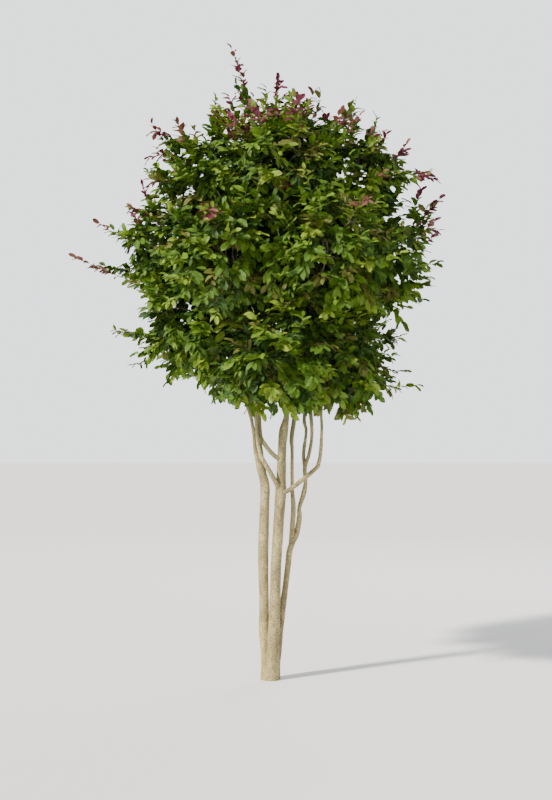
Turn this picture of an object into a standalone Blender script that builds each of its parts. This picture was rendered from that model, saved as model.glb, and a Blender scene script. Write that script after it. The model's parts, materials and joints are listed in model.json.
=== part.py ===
"""A young Persian ironwood tree: three stems from one foot, bare boughs and a dense round crown.

Each limb and each mass of foliage is one closed solid. Metres, +Z up, the origin at the middle of
the flat cut under the trunk, and the front of the tree towards -Y.
"""

import math
import random
from collections import namedtuple

import bmesh
import bpy
from mathutils import Matrix, Vector
from mathutils.bvhtree import BVHTree

# Gaps between neighbours
GAP = 0.0003
WELD = 0.00001
LIMB_CLEARANCE = 0.004
CELL_CLEARANCE = 0.0015

# Trunk: the stems are one solid up to the fork, and the foot flares a little
TRUNK_TOP = 0.36
FLARE_HEIGHT = 0.06
FLARE_RADIUS = 0.061
FLARE_TOP_RADIUS = 0.045
FLARE_CENTRE = (0.003, 0.004)
FLARE_SIDES = 16

# Limbs
PATH_STEPS = 2
ENTRY_REACH = 0.8
ENTRY_TAPER = 0.85
BRANCH_BOW = 0.1
BEND_X = 0.295

# Twigs
STEM_START = 0.02
STEM_STEPS = 3
STEM_TAPER = 0.85
TWIG_STEPS = 2
TWIG_TIPS = 7
TWIG_REACH = 0.62
TWIG_LEAST_REACH = 0.45
TWIG_REACH_STEP = 0.07
TWIG_SHARE = 0.55
TWIG_TAPER = 0.8
TWIG_LEAST_RADIUS = 0.0032
TWIG_TURN_COST = 0.8
TWIG_BOW = 0.4
TWIG_RISE = 0.12
TIP_SCATTER = 0.035
TIP_ROOM = 0.05
SHOOT_STEPS = 2

# Leaves: each stands for a small spray, and those on the long shoots are smaller
LEAF_LENGTH = 0.26
LEAF_WIDTH = 0.19
LEAF_THICKNESS = 0.0042
LEAF_FOLD = 0.016
LEAF_WIDEST = 0.45
END_LEAF_SUNK = 0.006
LEAF_NECK = 0.03
LEAF_ANGLE = math.radians(52)
LEAF_TILT = 0.22
LEAF_REACH = 1.25
LEAF_PLACES = (1.0, 0.72, 0.44)
LEAF_TRIES = 12
LIGHT_FROM_ABOVE = 0.8
SHOOT_LEAF_SCALE = 0.4
SHOOT_LEAF_PITCH = 0.1

SMOOTH_ANGLE = math.radians(40)

# Colours and roughness
BARK = ((0.46, 0.41, 0.29), 0.85)
FOLIAGE = ((0.13, 0.24, 0.035), 0.5)

Mass = namedtuple("Mass", "centre radii limb")
Limb = namedtuple("Limb", "parent sides path")
Shoot = namedtuple("Shoot", "mass root tip arch")

# The spaces that the masses of foliage fill: the middle, the half sizes and the limb that feeds each
MASSES = {
    "foliage_low_left": Mass((-0.46, -0.08, 2.34), (0.36, 0.34, 0.32), "stem_left"),
    "foliage_low_front": Mass((0.06, -0.40, 2.10), (0.36, 0.34, 0.32), "branch_low_front"),
    "foliage_low_right": Mass((0.44, -0.14, 2.09), (0.31, 0.34, 0.33), "branch_low_right"),
    "foliage_low_back_right": Mass((0.30, 0.42, 2.16), (0.34, 0.34, 0.33), "stem_right"),
    "foliage_low_back_left": Mass((-0.20, 0.40, 2.18), (0.34, 0.34, 0.32), "bough_left_back"),
    "foliage_mid_left": Mass((-0.56, 0.02, 2.80), (0.35, 0.36, 0.34), "bough_cross_high"),
    "foliage_mid_front_left": Mass((-0.22, -0.52, 2.70), (0.36, 0.34, 0.35), "bough_cross_low"),
    "foliage_mid_front_right": Mass((0.36, -0.52, 2.70), (0.36, 0.34, 0.35), "branch_front_right"),
    "foliage_mid_right": Mass((0.66, 0.00, 2.80), (0.33, 0.36, 0.36), "bough_right"),
    "foliage_mid_back_right": Mass((0.40, 0.52, 2.74), (0.36, 0.34, 0.35), "bough_right_back"),
    "foliage_mid_back_left": Mass((-0.20, 0.52, 2.76), (0.36, 0.34, 0.35), "branch_back_left"),
    "foliage_top_left": Mass((-0.36, -0.02, 3.24), (0.35, 0.35, 0.33), "branch_top_left"),
    "foliage_top_front": Mass((0.10, -0.36, 3.22), (0.34, 0.33, 0.33), "branch_top_front"),
    "foliage_top_right": Mass((0.50, -0.02, 3.24), (0.35, 0.35, 0.33), "branch_top_right"),
    "foliage_top_back": Mass((0.10, 0.36, 3.24), (0.34, 0.33, 0.33), "bough_mid"),
    "foliage_crown": Mass((0.06, 0.00, 3.46), (0.32, 0.32, 0.25), "stem_middle"),
}

# The limbs: what each springs from, its sides, and x, y, z and radius at its bends. Each then runs
# on to the edge of its mass, and a branch that is hidden in the crown has only its root here.
LIMBS = {
    "stem_left": Limb(None, 10, [
        (-0.004, 0.004, -0.08, 0.0465), (-0.016, 0.008, 0.15, 0.0365), (-0.033, 0.012, 0.315, 0.0335),
        (-0.0325, 0.013, 0.525, 0.031), (-0.038, 0.012, 0.80, 0.0345), (-0.029, 0.010, 1.12, 0.031),
        (-0.0285, 0.010, 1.27, 0.031), (-0.060, 0.008, 1.395, 0.0235), (-0.090, 0.003, 1.50, 0.0145),
        (-0.102, -0.004, 1.62, 0.011), (-0.150, -0.020, 1.80, 0.012)]),
    "stem_middle": Limb(None, 10, [
        (0.009, -0.012, -0.08, 0.047), (0.034, -0.007, 0.36, 0.0385), (0.046, -0.003, 0.735, 0.035),
        (0.070, 0.000, 1.12, 0.0355), (0.0765, 0.000, 1.22, 0.037), (0.081, 0.000, 1.365, 0.030),
        (0.087, 0.000, 1.52, 0.0283), (0.0955, 0.000, 1.62, 0.031), (0.116, 0.000, 1.73, 0.017),
        (0.124, 0.005, 1.92, 0.016), (0.105, 0.010, 2.40, 0.013), (0.085, 0.005, 2.90, 0.010)]),
    "stem_right": Limb(None, 10, [
        (0.024, 0.020, -0.08, 0.036), (0.072, 0.044, 0.315, 0.0235), (0.119, 0.052, 0.6825, 0.0205),
        (0.1375, 0.056, 0.84, 0.0205), (0.182, 0.072, 0.945, 0.0185), (0.201, 0.079, 1.05, 0.0172),
        (0.200, 0.080, 1.11, 0.0138), (0.229, 0.081, 1.2075, 0.016), (0.2415, 0.084, 1.28, 0.0125),
        (0.238, 0.088, 1.38, 0.015), (0.266, 0.095, 1.47, 0.012), (0.2845, 0.102, 1.60, 0.012),
        (0.276, 0.112, 1.77, 0.0135)]),
    "bough_mid": Limb("stem_right", 8, [
        (0.143, 0.058, 0.85, 0.016), (0.160, 0.052, 1.10, 0.0165), (0.153, 0.055, 1.25, 0.0118),
        (0.152, 0.060, 1.50, 0.0118), (0.149, 0.063, 1.575, 0.0145), (0.171, 0.090, 1.80, 0.0135),
        (0.150, 0.150, 2.30, 0.010), (0.130, 0.200, 2.75, 0.008)]),
    "bough_right_back": Limb("stem_right", 8, [
        (0.237, 0.088, 1.37, 0.013), (0.2295, 0.106, 1.47, 0.0116), (0.247, 0.124, 1.62, 0.0105),
        (0.236, 0.142, 1.74, 0.0115), (0.280, 0.300, 2.25, 0.009)]),
    "bough_right": Limb("stem_middle", 8, [
        (0.078, -0.008, 1.218, 0.017), (0.140, -0.034, 1.241, 0.0147), (0.300, -0.034, 1.370, 0.014),
        (0.3245, -0.034, 1.412, 0.0135), (0.338, -0.034, 1.49, 0.0125), (0.345, -0.034, 1.63, 0.010),
        (0.346, -0.034, 1.80, 0.0098), (0.420, 0.050, 2.05, 0.009), (0.500, 0.060, 2.35, 0.008)]),
    "bough_cross_low": Limb("stem_middle", 8, [
        (0.070, -0.006, 1.225, 0.017), (0.030, -0.050, 1.3125, 0.016), (-0.030, -0.062, 1.4175, 0.015),
        (-0.057, -0.060, 1.475, 0.0135), (-0.075, -0.056, 1.57, 0.0115), (-0.092, -0.070, 1.76, 0.011),
        (-0.155, -0.300, 2.30, 0.009)]),
    "bough_cross_high": Limb("stem_middle", 8, [
        (0.087, -0.004, 1.42, 0.0145), (0.023, -0.026, 1.47, 0.0145), (-0.0205, -0.030, 1.5225, 0.014),
        (-0.050, -0.026, 1.575, 0.0125), (-0.058, -0.022, 1.6275, 0.012), (-0.078, -0.020, 1.82, 0.011),
        (-0.190, -0.020, 2.20, 0.010)]),
    "bough_left_back": Limb("stem_left", 8, [
        (-0.032, 0.010, 1.33, 0.017), (-0.060, 0.052, 1.54, 0.014), (-0.082, 0.080, 1.80, 0.012)]),
    "branch_low_front": Limb("stem_middle", 6, [(0.121, 0.003, 1.80, 0.0095)]),
    "branch_low_right": Limb("bough_right", 6, [(0.347, -0.034, 1.80, 0.0085)]),
    "branch_front_right": Limb("stem_middle", 6, [(0.124, 0.006, 1.94, 0.010)]),
    "branch_back_left": Limb("stem_middle", 6, [(0.119, 0.007, 2.06, 0.010)]),
    "branch_top_right": Limb("stem_middle", 6, [(0.107, 0.010, 2.36, 0.009)]),
    "branch_top_left": Limb("stem_middle", 6, [(0.103, 0.010, 2.45, 0.009)]),
    "branch_top_front": Limb("stem_middle", 6, [(0.096, 0.009, 2.62, 0.0085)]),
}

# The long shoots that stand out of the crown: the mass, where each leaves it, its tip and its arch
SHOOTS = [
    Shoot("foliage_crown", (-0.10, 0.00, 3.66), (-0.262, 0.00, 4.195), 0.02),
    Shoot("foliage_crown", (0.04, -0.02, 3.70), (0.065, -0.02, 3.99), 0.0),
    Shoot("foliage_crown", (0.17, -0.10, 3.62), (0.19, -0.12, 3.84), 0.0),
    Shoot("foliage_crown", (0.24, 0.12, 3.60), (0.27, 0.14, 3.85), 0.0),
    Shoot("foliage_top_left", (-0.33, -0.03, 3.48), (-0.36, -0.03, 3.87), 0.0),
    Shoot("foliage_top_left", (-0.50, -0.04, 3.43), (-0.80, -0.04, 3.61), 0.03),
    Shoot("foliage_top_left", (-0.52, -0.12, 3.32), (-0.82, -0.12, 3.41), 0.05),
    Shoot("foliage_top_left", (-0.56, 0.06, 3.20), (-0.84, 0.06, 3.27), 0.04),
    Shoot("foliage_top_right", (0.42, 0.02, 3.52), (0.565, 0.02, 3.82), 0.0),
    Shoot("foliage_top_right", (0.60, -0.05, 3.42), (0.71, -0.05, 3.55), 0.0),
    Shoot("foliage_top_right", (0.74, 0.03, 3.28), (0.94, 0.03, 3.56), 0.0),
    Shoot("foliage_top_right", (0.80, -0.10, 3.26), (1.14, -0.10, 3.25), 0.04),
    Shoot("foliage_mid_right", (0.90, 0.06, 2.86), (1.17, 0.06, 2.97), 0.03),
    Shoot("foliage_mid_right", (0.91, -0.04, 2.90), (1.15, -0.04, 3.18), 0.0),
    Shoot("foliage_mid_right", (0.72, -0.08, 2.54), (0.885, -0.08, 2.55), 0.0),
    Shoot("foliage_low_right", (0.60, -0.04, 2.22), (0.85, -0.04, 2.21), 0.0),
    Shoot("foliage_low_right", (0.54, -0.12, 1.94), (1.01, -0.12, 1.915), -0.02),
    Shoot("foliage_mid_left", (-0.72, -0.06, 2.98), (-0.95, -0.06, 3.10), 0.02),
    Shoot("foliage_mid_left", (-0.74, -0.16, 2.86), (-0.95, -0.18, 2.84), 0.0),
    Shoot("foliage_mid_left", (-0.74, 0.00, 2.55), (-1.315, 0.00, 2.78), -0.01),
    Shoot("foliage_low_left", (-0.60, -0.06, 2.21), (-0.85, -0.06, 2.20), 0.0),
    Shoot("foliage_top_back", (0.12, 0.55, 3.42), (0.13, 0.80, 3.66), 0.0),
    Shoot("foliage_top_front", (0.14, -0.55, 3.40), (0.16, -0.74, 3.60), 0.0),
    Shoot("foliage_mid_back_left", (-0.30, 0.76, 2.88), (-0.45, 1.00, 3.02), 0.03),
    Shoot("foliage_mid_back_right", (0.50, 0.76, 2.86), (0.66, 1.00, 3.04), 0.03),
    Shoot("foliage_mid_front_left", (-0.28, -0.76, 2.84), (-0.36, -0.98, 2.92), 0.03),
    Shoot("foliage_mid_front_right", (0.48, -0.76, 2.86), (0.60, -0.98, 2.98), 0.03),
]


def clear_scene():
    """Remove every object of the scene."""
    for thing in list(bpy.data.objects):
        bpy.data.objects.remove(thing, do_unlink=True)


def new_collection(name, parent=None):
    """A collection linked under the scene or under another collection."""
    group = bpy.data.collections.new(name)
    (parent or bpy.context.scene.collection).children.link(group)
    return group


def new_material(name, look):
    """A Principled material of one colour and roughness."""
    colour, roughness = look
    material = bpy.data.materials.new(name)
    material.use_nodes = True
    shader = material.node_tree.nodes["Principled BSDF"]
    shader.inputs["Base Color"].default_value = (*colour, 1)
    shader.inputs["Roughness"].default_value = roughness
    shader.inputs["Metallic"].default_value = 0
    return material


def smooth_path(points, steps):
    """The points of a Catmull-Rom curve, steps to each span."""
    knots = [2 * points[0] - points[1], *points, 2 * points[-1] - points[-2]]
    path = []
    for a, b, c, d in zip(knots, knots[1:], knots[2:], knots[3:]):
        for step in range(steps):
            t = step / steps
            bend = (3 * b - a - 3 * c + d) * t**3 + (2 * a - 5 * b + 4 * c - d) * t**2
            path.append(0.5 * (2 * b + (c - a) * t + bend))
    return [*path, points[-1]]


def bezier(start, middle, end, steps):
    """The points of a quadratic Bezier curve."""
    turns = [step / steps for step in range(steps + 1)]
    return [start * (1 - t) ** 2 + middle * (2 * t * (1 - t)) + end * t**2 for t in turns]


def mesh_of(drawn):
    """The evaluated mesh of an object."""
    bpy.context.view_layer.update()
    graph = bpy.context.evaluated_depsgraph_get()
    return bpy.data.meshes.new_from_object(drawn.evaluated_get(graph))


def tube(name, path, profile, group):
    """A closed tapering tube through (x, y, z, radius) points, in the group."""
    curve = bpy.data.curves.new(name, "CURVE")
    curve.dimensions = "3D"
    curve.use_fill_caps = True
    curve.twist_mode = "MINIMUM"
    if isinstance(profile, int):
        curve.bevel_depth = 1
        curve.bevel_resolution = profile // 2 - 2
    else:
        curve.bevel_mode = "OBJECT"
        curve.bevel_object = profile
    spline = curve.splines.new("POLY")
    spline.points.add(len(path) - 1)
    for point, (x, y, z, radius) in zip(spline.points, path):
        point.co = (x, y, z, 1)
        point.radius = radius
    drawn = bpy.data.objects.new(name, curve)
    group.objects.link(drawn)
    mesh = mesh_of(drawn)
    mesh.name = name
    bpy.data.objects.remove(drawn)
    bpy.data.curves.remove(curve)
    shape = bmesh.new()
    shape.from_mesh(mesh)
    bmesh.ops.remove_doubles(shape, verts=shape.verts, dist=WELD)
    bmesh.ops.recalc_face_normals(shape, faces=shape.faces)
    shape.to_mesh(mesh)
    shape.free()
    solid = bpy.data.objects.new(name, mesh)
    group.objects.link(solid)
    return solid


def slice_off(solid, place, normal):
    """Cut away what lies beyond a plane, and close the cut with a flat face."""
    shape = bmesh.new()
    shape.from_mesh(solid.data)
    parts = [*shape.verts, *shape.edges, *shape.faces]
    cut = bmesh.ops.bisect_plane(shape, geom=parts, plane_co=place, plane_no=normal, clear_outer=True)
    rim = [edge for edge in cut["geom_cut"] if isinstance(edge, bmesh.types.BMEdge)]
    bmesh.ops.contextual_create(shape, geom=rim)
    bmesh.ops.recalc_face_normals(shape, faces=shape.faces)
    shape.to_mesh(solid.data)
    shape.free()


def is_closed(mesh):
    """Whether every edge of the mesh has two faces."""
    shape = bmesh.new()
    shape.from_mesh(mesh)
    closed = all(len(edge.link_faces) == 2 for edge in shape.edges)
    shape.free()
    return closed


def keep_largest(mesh):
    """Keep only the largest of the mesh's separate shells, so no scrap or sealed hollow is left."""
    shape = bmesh.new()
    shape.from_mesh(mesh)
    bmesh.ops.triangulate(shape, faces=shape.faces)
    waiting = set(shape.faces)
    shells = []
    while waiting:
        shell = set()
        edge_on = [waiting.pop()]
        while edge_on:
            face = edge_on.pop()
            shell.add(face)
            for edge in face.edges:
                for other in edge.link_faces:
                    if other in waiting:
                        waiting.discard(other)
                        edge_on.append(other)
        shells.append(shell)
    shells.sort(key=lambda shell: sum(face.calc_area() for face in shell))
    scraps = [face for shell in shells[:-1] for face in shell]
    bmesh.ops.delete(shape, geom=scraps, context="FACES")
    shape.to_mesh(mesh)
    shape.free()


def combine(solid, operation, others):
    """Apply one Boolean of the solid with a collection, and remove the collection's objects."""
    boolean = solid.modifiers.new(operation.lower(), "BOOLEAN")
    boolean.operation = operation
    boolean.operand_type = "COLLECTION"
    boolean.collection = others
    mesh = mesh_of(solid)
    if not is_closed(mesh):
        boolean.solver = "MANIFOLD"
        mesh = mesh_of(solid)
    solid.modifiers.clear()
    keep_largest(mesh)
    solid.data = mesh
    for other in list(others.objects):
        bpy.data.objects.remove(other)


def reach(point, mass):
    """How far out a point is in a mass's space: 0 at its middle and 1 at its edge."""
    spans = zip(point, mass.centre, mass.radii)
    return math.sqrt(sum(((p - c) / r) ** 2 for p, c, r in spans))


def power(point, mass):
    """A point's squared distance from a mass's middle, less the square of the mass's mean radius."""
    return (point - Vector(mass.centre)).length_squared - math.prod(mass.radii) ** (2 / 3)


def in_cell(point, name):
    """Whether a point is nearer to this mass than to any other, by the power of each."""
    own = MASSES[name]
    own_power = power(point, own)
    for other_name, other in MASSES.items():
        if other_name == name:
            continue
        apart = (Vector(own.centre) - Vector(other.centre)).length
        if power(point, other) - own_power < 2 * apart * CELL_CLEARANCE:
            return False
    return True


def feeding(limb_name):
    """The mass that a limb feeds."""
    return next(mass for mass in MASSES.values() if mass.limb == limb_name)


def limb_path(name):
    """The (x, y, z, radius) points of a limb, from its root to the edge of its mass."""
    limb = LIMBS[name]
    mass = feeding(name)
    centre = Vector(mass.centre)
    last = Vector(limb.path[-1][:3])
    entry = centre + (last - centre) * (ENTRY_REACH / reach(last, mass))
    radius = limb.path[-1][3]
    bends = [Vector(point) for point in limb.path]
    if len(bends) == 1:
        middle = last.lerp(entry, 0.5) + Vector((0, 0, BRANCH_BOW * (entry - last).length))
        curve = bezier(last, middle, entry, 2 * PATH_STEPS)
        radii = [radius * (1 - (1 - ENTRY_TAPER) * i / (2 * PATH_STEPS)) for i in range(len(curve))]
        return [Vector((*point, r)) for point, r in zip(curve, radii)]
    bends.append(Vector((*entry, radius * ENTRY_TAPER)))
    return smooth_path(bends, PATH_STEPS)


def limb_solid(name, grown, group):
    """A limb's tube, thicker than the limb by what it has grown."""
    path = [Vector((*point.xyz, point.w + grown)) for point in limb_path(name)]
    return tube(name, path, LIMBS[name].sides, group)


def make_flare(group):
    """The widening foot of the trunk."""
    shape = bmesh.new()
    place = Matrix.Translation((*FLARE_CENTRE, 0))
    bmesh.ops.create_cone(shape, cap_ends=True, segments=FLARE_SIDES, radius1=FLARE_RADIUS,
                          radius2=FLARE_TOP_RADIUS, depth=2 * FLARE_HEIGHT, matrix=place)
    mesh = bpy.data.meshes.new("flare")
    shape.to_mesh(mesh)
    shape.free()
    group.objects.link(bpy.data.objects.new("flare", mesh))


def make_limbs(tree, cutters):
    """The stems, the boughs with their feet cut to fit, and the trunk that joins the stems' feet."""
    solids = []
    feet = []
    for name, limb in LIMBS.items():
        solid = limb_solid(name, 0, tree)
        solids.append(solid)
        if limb.parent:
            limb_solid(limb.parent, GAP, cutters)
            combine(solid, "DIFFERENCE", cutters)
        else:
            foot = bpy.data.objects.new("trunk", solid.data.copy())
            slice_off(foot, (0, 0, TRUNK_TOP), (0, 0, 1))
            slice_off(solid, (0, 0, TRUNK_TOP + GAP), (0, 0, -1))
            feet.append(foot)
    trunk, *others = feet
    tree.objects.link(trunk)
    for foot in others:
        cutters.objects.link(foot)
    make_flare(cutters)
    combine(trunk, "UNION", cutters)
    slice_off(trunk, (0, 0, 0), (0, 0, -1))
    solids.append(trunk)
    bough = next(solid for solid in solids if solid.name == "bough_right")
    solids.append(split_at_bend(bough, tree))
    return solids


def split_at_bend(low, tree):
    """Split the bough that bends round the gap beside the stems, and return its upper part."""
    path = limb_path(low.name)
    before = max((point for point in path if point.x < BEND_X), key=lambda point: point.x)
    after = path[path.index(before) + 1]
    along = (after - before).xyz.normalized()
    place = (before.xyz + after.xyz) / 2
    high = bpy.data.objects.new(low.name + "_high", low.data.copy())
    tree.objects.link(high)
    low.name += "_low"
    slice_off(low, place, along)
    slice_off(high, place + along * GAP, -along)
    return high


def limb_surfaces(cutters):
    """All the limbs as one surface to test against, thickened by the clearance kept to them."""
    shape = bmesh.new()
    for name in LIMBS:
        shape.from_mesh(limb_solid(name, LIMB_CLEARANCE, cutters).data)
    for solid in list(cutters.objects):
        bpy.data.objects.remove(solid)
    surfaces = BVHTree.FromBMesh(shape)
    shape.free()
    return surfaces


def twig_outline(cutters):
    """The three-sided outline of every twig, as a guide of radius 1."""
    curve = bpy.data.curves.new("twig_outline", "CURVE")
    curve.dimensions = "2D"
    corners = curve.splines.new("POLY")
    corners.points.add(2)
    corners.use_cyclic_u = True
    for number, corner in enumerate(corners.points):
        angle = math.tau * number / 3
        corner.co = (math.cos(angle), math.sin(angle), 0, 1)
    guide = bpy.data.objects.new("twig_outline", curve)
    guide.hide_render = True
    guide.display_type = "WIRE"
    cutters.objects.link(guide)
    return guide


def leaf(base, along, facing, scale):
    """A pointed blade of eight faces, folded a little along its midrib, as a mesh."""
    shape = bmesh.new()
    bmesh.ops.create_uvsphere(shape, u_segments=4, v_segments=2, radius=1)
    across = along.cross(facing)
    for corner in shape.verts:
        x, y, z = corner.co
        length = LEAF_WIDEST + x * (LEAF_WIDEST if x < 0 else 1 - LEAF_WIDEST)
        rise = z * LEAF_THICKNESS / 2 + abs(y) * LEAF_FOLD
        offset = along * length * LEAF_LENGTH + across * y * LEAF_WIDTH / 2 + facing * rise
        corner.co = base + offset * scale
    bmesh.ops.recalc_face_normals(shape, faces=shape.faces)
    mesh = bpy.data.meshes.new("leaf")
    shape.to_mesh(mesh)
    shape.free()
    return mesh


def surface_of(mesh):
    """A mesh's surface, to test what touches it."""
    corners = [vertex.co for vertex in mesh.vertices]
    return BVHTree.FromPolygons(corners, [tuple(face.vertices) for face in mesh.polygons])


def tapering(first, last, count):
    """Evenly changing radii, one for each point of a path."""
    return [first + (last - first) * number / (count - 1) for number in range(count)]


class Foliage:
    """The twigs and leaves of one mass, grown by rule from the tip of the limb that feeds it."""

    def __init__(self, name, seed, limbs, outline, pieces):
        self.name = name
        self.mass = MASSES[name]
        self.heart = Vector(self.mass.centre)
        self.random = random.Random(seed)
        self.limbs = limbs
        self.outline = outline
        self.pieces = pieces
        self.joints = []
        self.twigs = []
        self.leaves = []

    def inside(self, mesh, most_reach):
        """Whether all of a piece keeps to the mass's own space."""
        corners = (vertex.co for vertex in mesh.vertices)
        return all(in_cell(corner, self.name) and reach(corner, self.mass) < most_reach
                   for corner in corners)

    def add_twig(self, path, parent_radius, most_reach):
        """One twig as a solid piece, or nothing where it would not fit."""
        root = max(parent_radius * TWIG_SHARE, TWIG_LEAST_RADIUS)
        radii = tapering(root, max(root * TWIG_TAPER, TWIG_LEAST_RADIUS), len(path))
        points = [Vector((*point, radius)) for point, radius in zip(path, radii)]
        twig = tube("twig", points, self.outline, self.pieces)
        surface = surface_of(twig.data)
        if not self.inside(twig.data, most_reach) or surface.overlap(self.limbs):
            bpy.data.objects.remove(twig)
            return
        self.keep_twig(path, radii, surface)

    def keep_twig(self, path, radii, surface):
        """Note a twig's path and surface, and the places that another can spring from."""
        self.twigs.append((path, surface))
        for before, place, radius in zip(path, path[1:], radii[1:]):
            self.joints.append((place, (place - before).normalized(), radius))

    def grow_stem(self):
        """The stem, from just above the limb's tip to the middle of the mass."""
        *_, before, tip = limb_path(self.mass.limb)
        along = (tip - before).xyz.normalized()
        foot = tip.xyz + along * GAP
        start = foot + along * STEM_START
        middle = start + along * (self.heart - start).length * TWIG_BOW
        path = [foot, *bezier(start, middle, self.heart, STEM_STEPS)]
        radii = tapering(tip.w, tip.w * STEM_TAPER, len(path))
        points = [Vector((*point, radius)) for point, radius in zip(path, radii)]
        stem = tube(self.name, points, self.outline, self.pieces)
        self.keep_twig(path, radii, surface_of(stem.data))
        return stem

    def tips(self):
        """The places that twigs reach for, spread evenly over the mass's space, inner ones first."""
        golden = math.pi * (3 - math.sqrt(5))
        turn = self.random.uniform(0, math.tau)
        found = []
        for number in range(TWIG_TIPS):
            height = 1 - (2 * number + 1) / TWIG_TIPS
            flat = math.sqrt(1 - height**2)
            angle = turn + golden * number
            way = Vector((flat * math.cos(angle), flat * math.sin(angle), height))
            far = TWIG_REACH
            while far > TWIG_LEAST_REACH and not in_cell(self.outward(way, far + TIP_ROOM), self.name):
                far -= TWIG_REACH_STEP
            if far > TWIG_LEAST_REACH:
                scatter = Vector([self.random.uniform(-TIP_SCATTER, TIP_SCATTER) for _ in range(3)])
                found.append(self.outward(way, far) + scatter)
        return sorted(found, key=lambda place: (place - self.heart).length)

    def outward(self, way, far):
        """The place that lies a share of the space's size out from its middle."""
        return self.heart + Vector([a * b * far for a, b in zip(way, self.mass.radii)])

    def best_joint(self, tip):
        """The joint that needs the least length and turn to reach a tip."""
        def cost(joint):
            way = tip - joint[0]
            turn = 1 - way.normalized().dot(joint[1])
            return way.length * (1 + TWIG_TURN_COST * turn)
        return min(self.joints, key=cost)

    def grow_twig(self, tip):
        """A twig that leaves the best joint along the twig there, and bends up to its tip."""
        place, along, radius = self.best_joint(tip)
        length = (tip - place).length
        middle = place + along * length * TWIG_BOW + Vector((0, 0, length * TWIG_RISE))
        path = bezier(place, middle, tip, TWIG_STEPS)
        self.add_twig(path, radius, 1)

    def grow_shoot(self, shoot):
        """A long shoot that stands out of the crown, as far as the root of its last leaf."""
        root = Vector(shoot.root)
        way = Vector(shoot.tip) - root
        tip = Vector(shoot.tip) - way.normalized() * LEAF_LENGTH * SHOOT_LEAF_SCALE
        place, _, radius = self.best_joint(root)
        middle = root.lerp(tip, 0.5) + Vector((0, 0, 2 * shoot.arch))
        path = [place, *bezier(root, middle, tip, SHOOT_STEPS)]
        self.add_twig(path, radius, math.inf)

    def add_leaf(self, base, along, scale, most_reach):
        """A leaf that faces the light, in the first of a few tilts that fits, if any does."""
        outward = (base - self.heart).normalized()
        light = outward + Vector((0, 0, LIGHT_FROM_ABOVE))
        for attempt in range(LEAF_TRIES):
            spread = min(attempt, 2) * LEAF_TILT
            tilt = Vector([self.random.gauss(0, spread) for _ in range(3)])
            way = (along + tilt).normalized()
            facing = light + tilt
            facing = (facing - way * facing.dot(way)).normalized()
            mesh = leaf(base, way, facing, scale)
            surface = surface_of(mesh)
            blade = surface_of(leaf(base + way * LEAF_NECK * scale, way, facing, scale))
            touching = any(surface.overlap(other) for other in [self.limbs, *self.leaves])
            crossing = any(blade.overlap(twig) for _, twig in self.twigs)
            if self.inside(mesh, most_reach) and not touching and not crossing:
                self.leaves.append(surface)
                self.pieces.objects.link(bpy.data.objects.new("leaf", mesh))
                return

    def add_leaves(self, twig, first, places, scale, most_reach):
        """Leaves in two ranks along a twig from its first point on, and one at its end."""
        path = twig[first:]
        spans = len(path) - 1
        for number, share in enumerate(places):
            span = min(int(share * spans), spans - 1)
            start, end = path[span], path[span + 1]
            along = (end - start).normalized()
            across = along.cross(Vector((0, 0, 1))).normalized()
            side = across if number % 2 else -across
            base = start.lerp(end, share * spans - span)
            if share < 1:
                along = along * math.cos(LEAF_ANGLE) + side * math.sin(LEAF_ANGLE)
            else:
                base = base - along * END_LEAF_SUNK
            self.add_leaf(base, along, scale, most_reach)

    def make(self, tree):
        """All of the mass as one solid."""
        stem = self.grow_stem()
        for tip in self.tips():
            self.grow_twig(tip)
        shoots_from = len(self.twigs)
        for shoot in SHOOTS:
            if shoot.mass == self.name:
                self.grow_shoot(shoot)
        for path, _ in self.twigs[shoots_from:]:
            length = (path[-1] - path[1]).length
            count = max(2, round(length / SHOOT_LEAF_PITCH))
            places = [1 - number / count for number in range(count)]
            self.add_leaves(path, 1, places, SHOOT_LEAF_SCALE, math.inf)
        for path, _ in self.twigs[1:shoots_from]:
            self.add_leaves(path, 0, LEAF_PLACES, 1, LEAF_REACH)
        self.pieces.objects.unlink(stem)
        tree.objects.link(stem)
        combine(stem, "UNION", self.pieces)
        return stem


def finish(solid, material):
    """Give a solid its material, with its round sides shaded smooth."""
    solid.data.name = solid.name
    solid.data.materials.clear()
    solid.data.materials.append(material)
    solid.data.shade_smooth()
    solid.data.set_sharp_from_angle(angle=SMOOTH_ANGLE)


def main():
    """Build the whole tree."""
    clear_scene()
    tree = new_collection("persian_ironwood")
    cutters = new_collection("cutters")
    guides = new_collection("guides")
    bark = new_material("bark", BARK)
    foliage = new_material("foliage", FOLIAGE)
    for solid in make_limbs(tree, cutters):
        finish(solid, bark)
    surfaces = limb_surfaces(cutters)
    outline = twig_outline(guides)
    for seed, name in enumerate(MASSES):
        finish(Foliage(name, seed, surfaces, outline, cutters).make(tree), foliage)


main()
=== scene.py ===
"""A young Persian ironwood tree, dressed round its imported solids.

The limbs get bark with relief, and each mass of foliage is replaced by twigs and leaves that grow on
from the limbs by the same rule as the solids. Metres, +Z up, the front of the tree towards -Y.
"""

import json
import logging
import math
import random
from dataclasses import dataclass, field
from enum import Enum
from typing import NamedTuple

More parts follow.
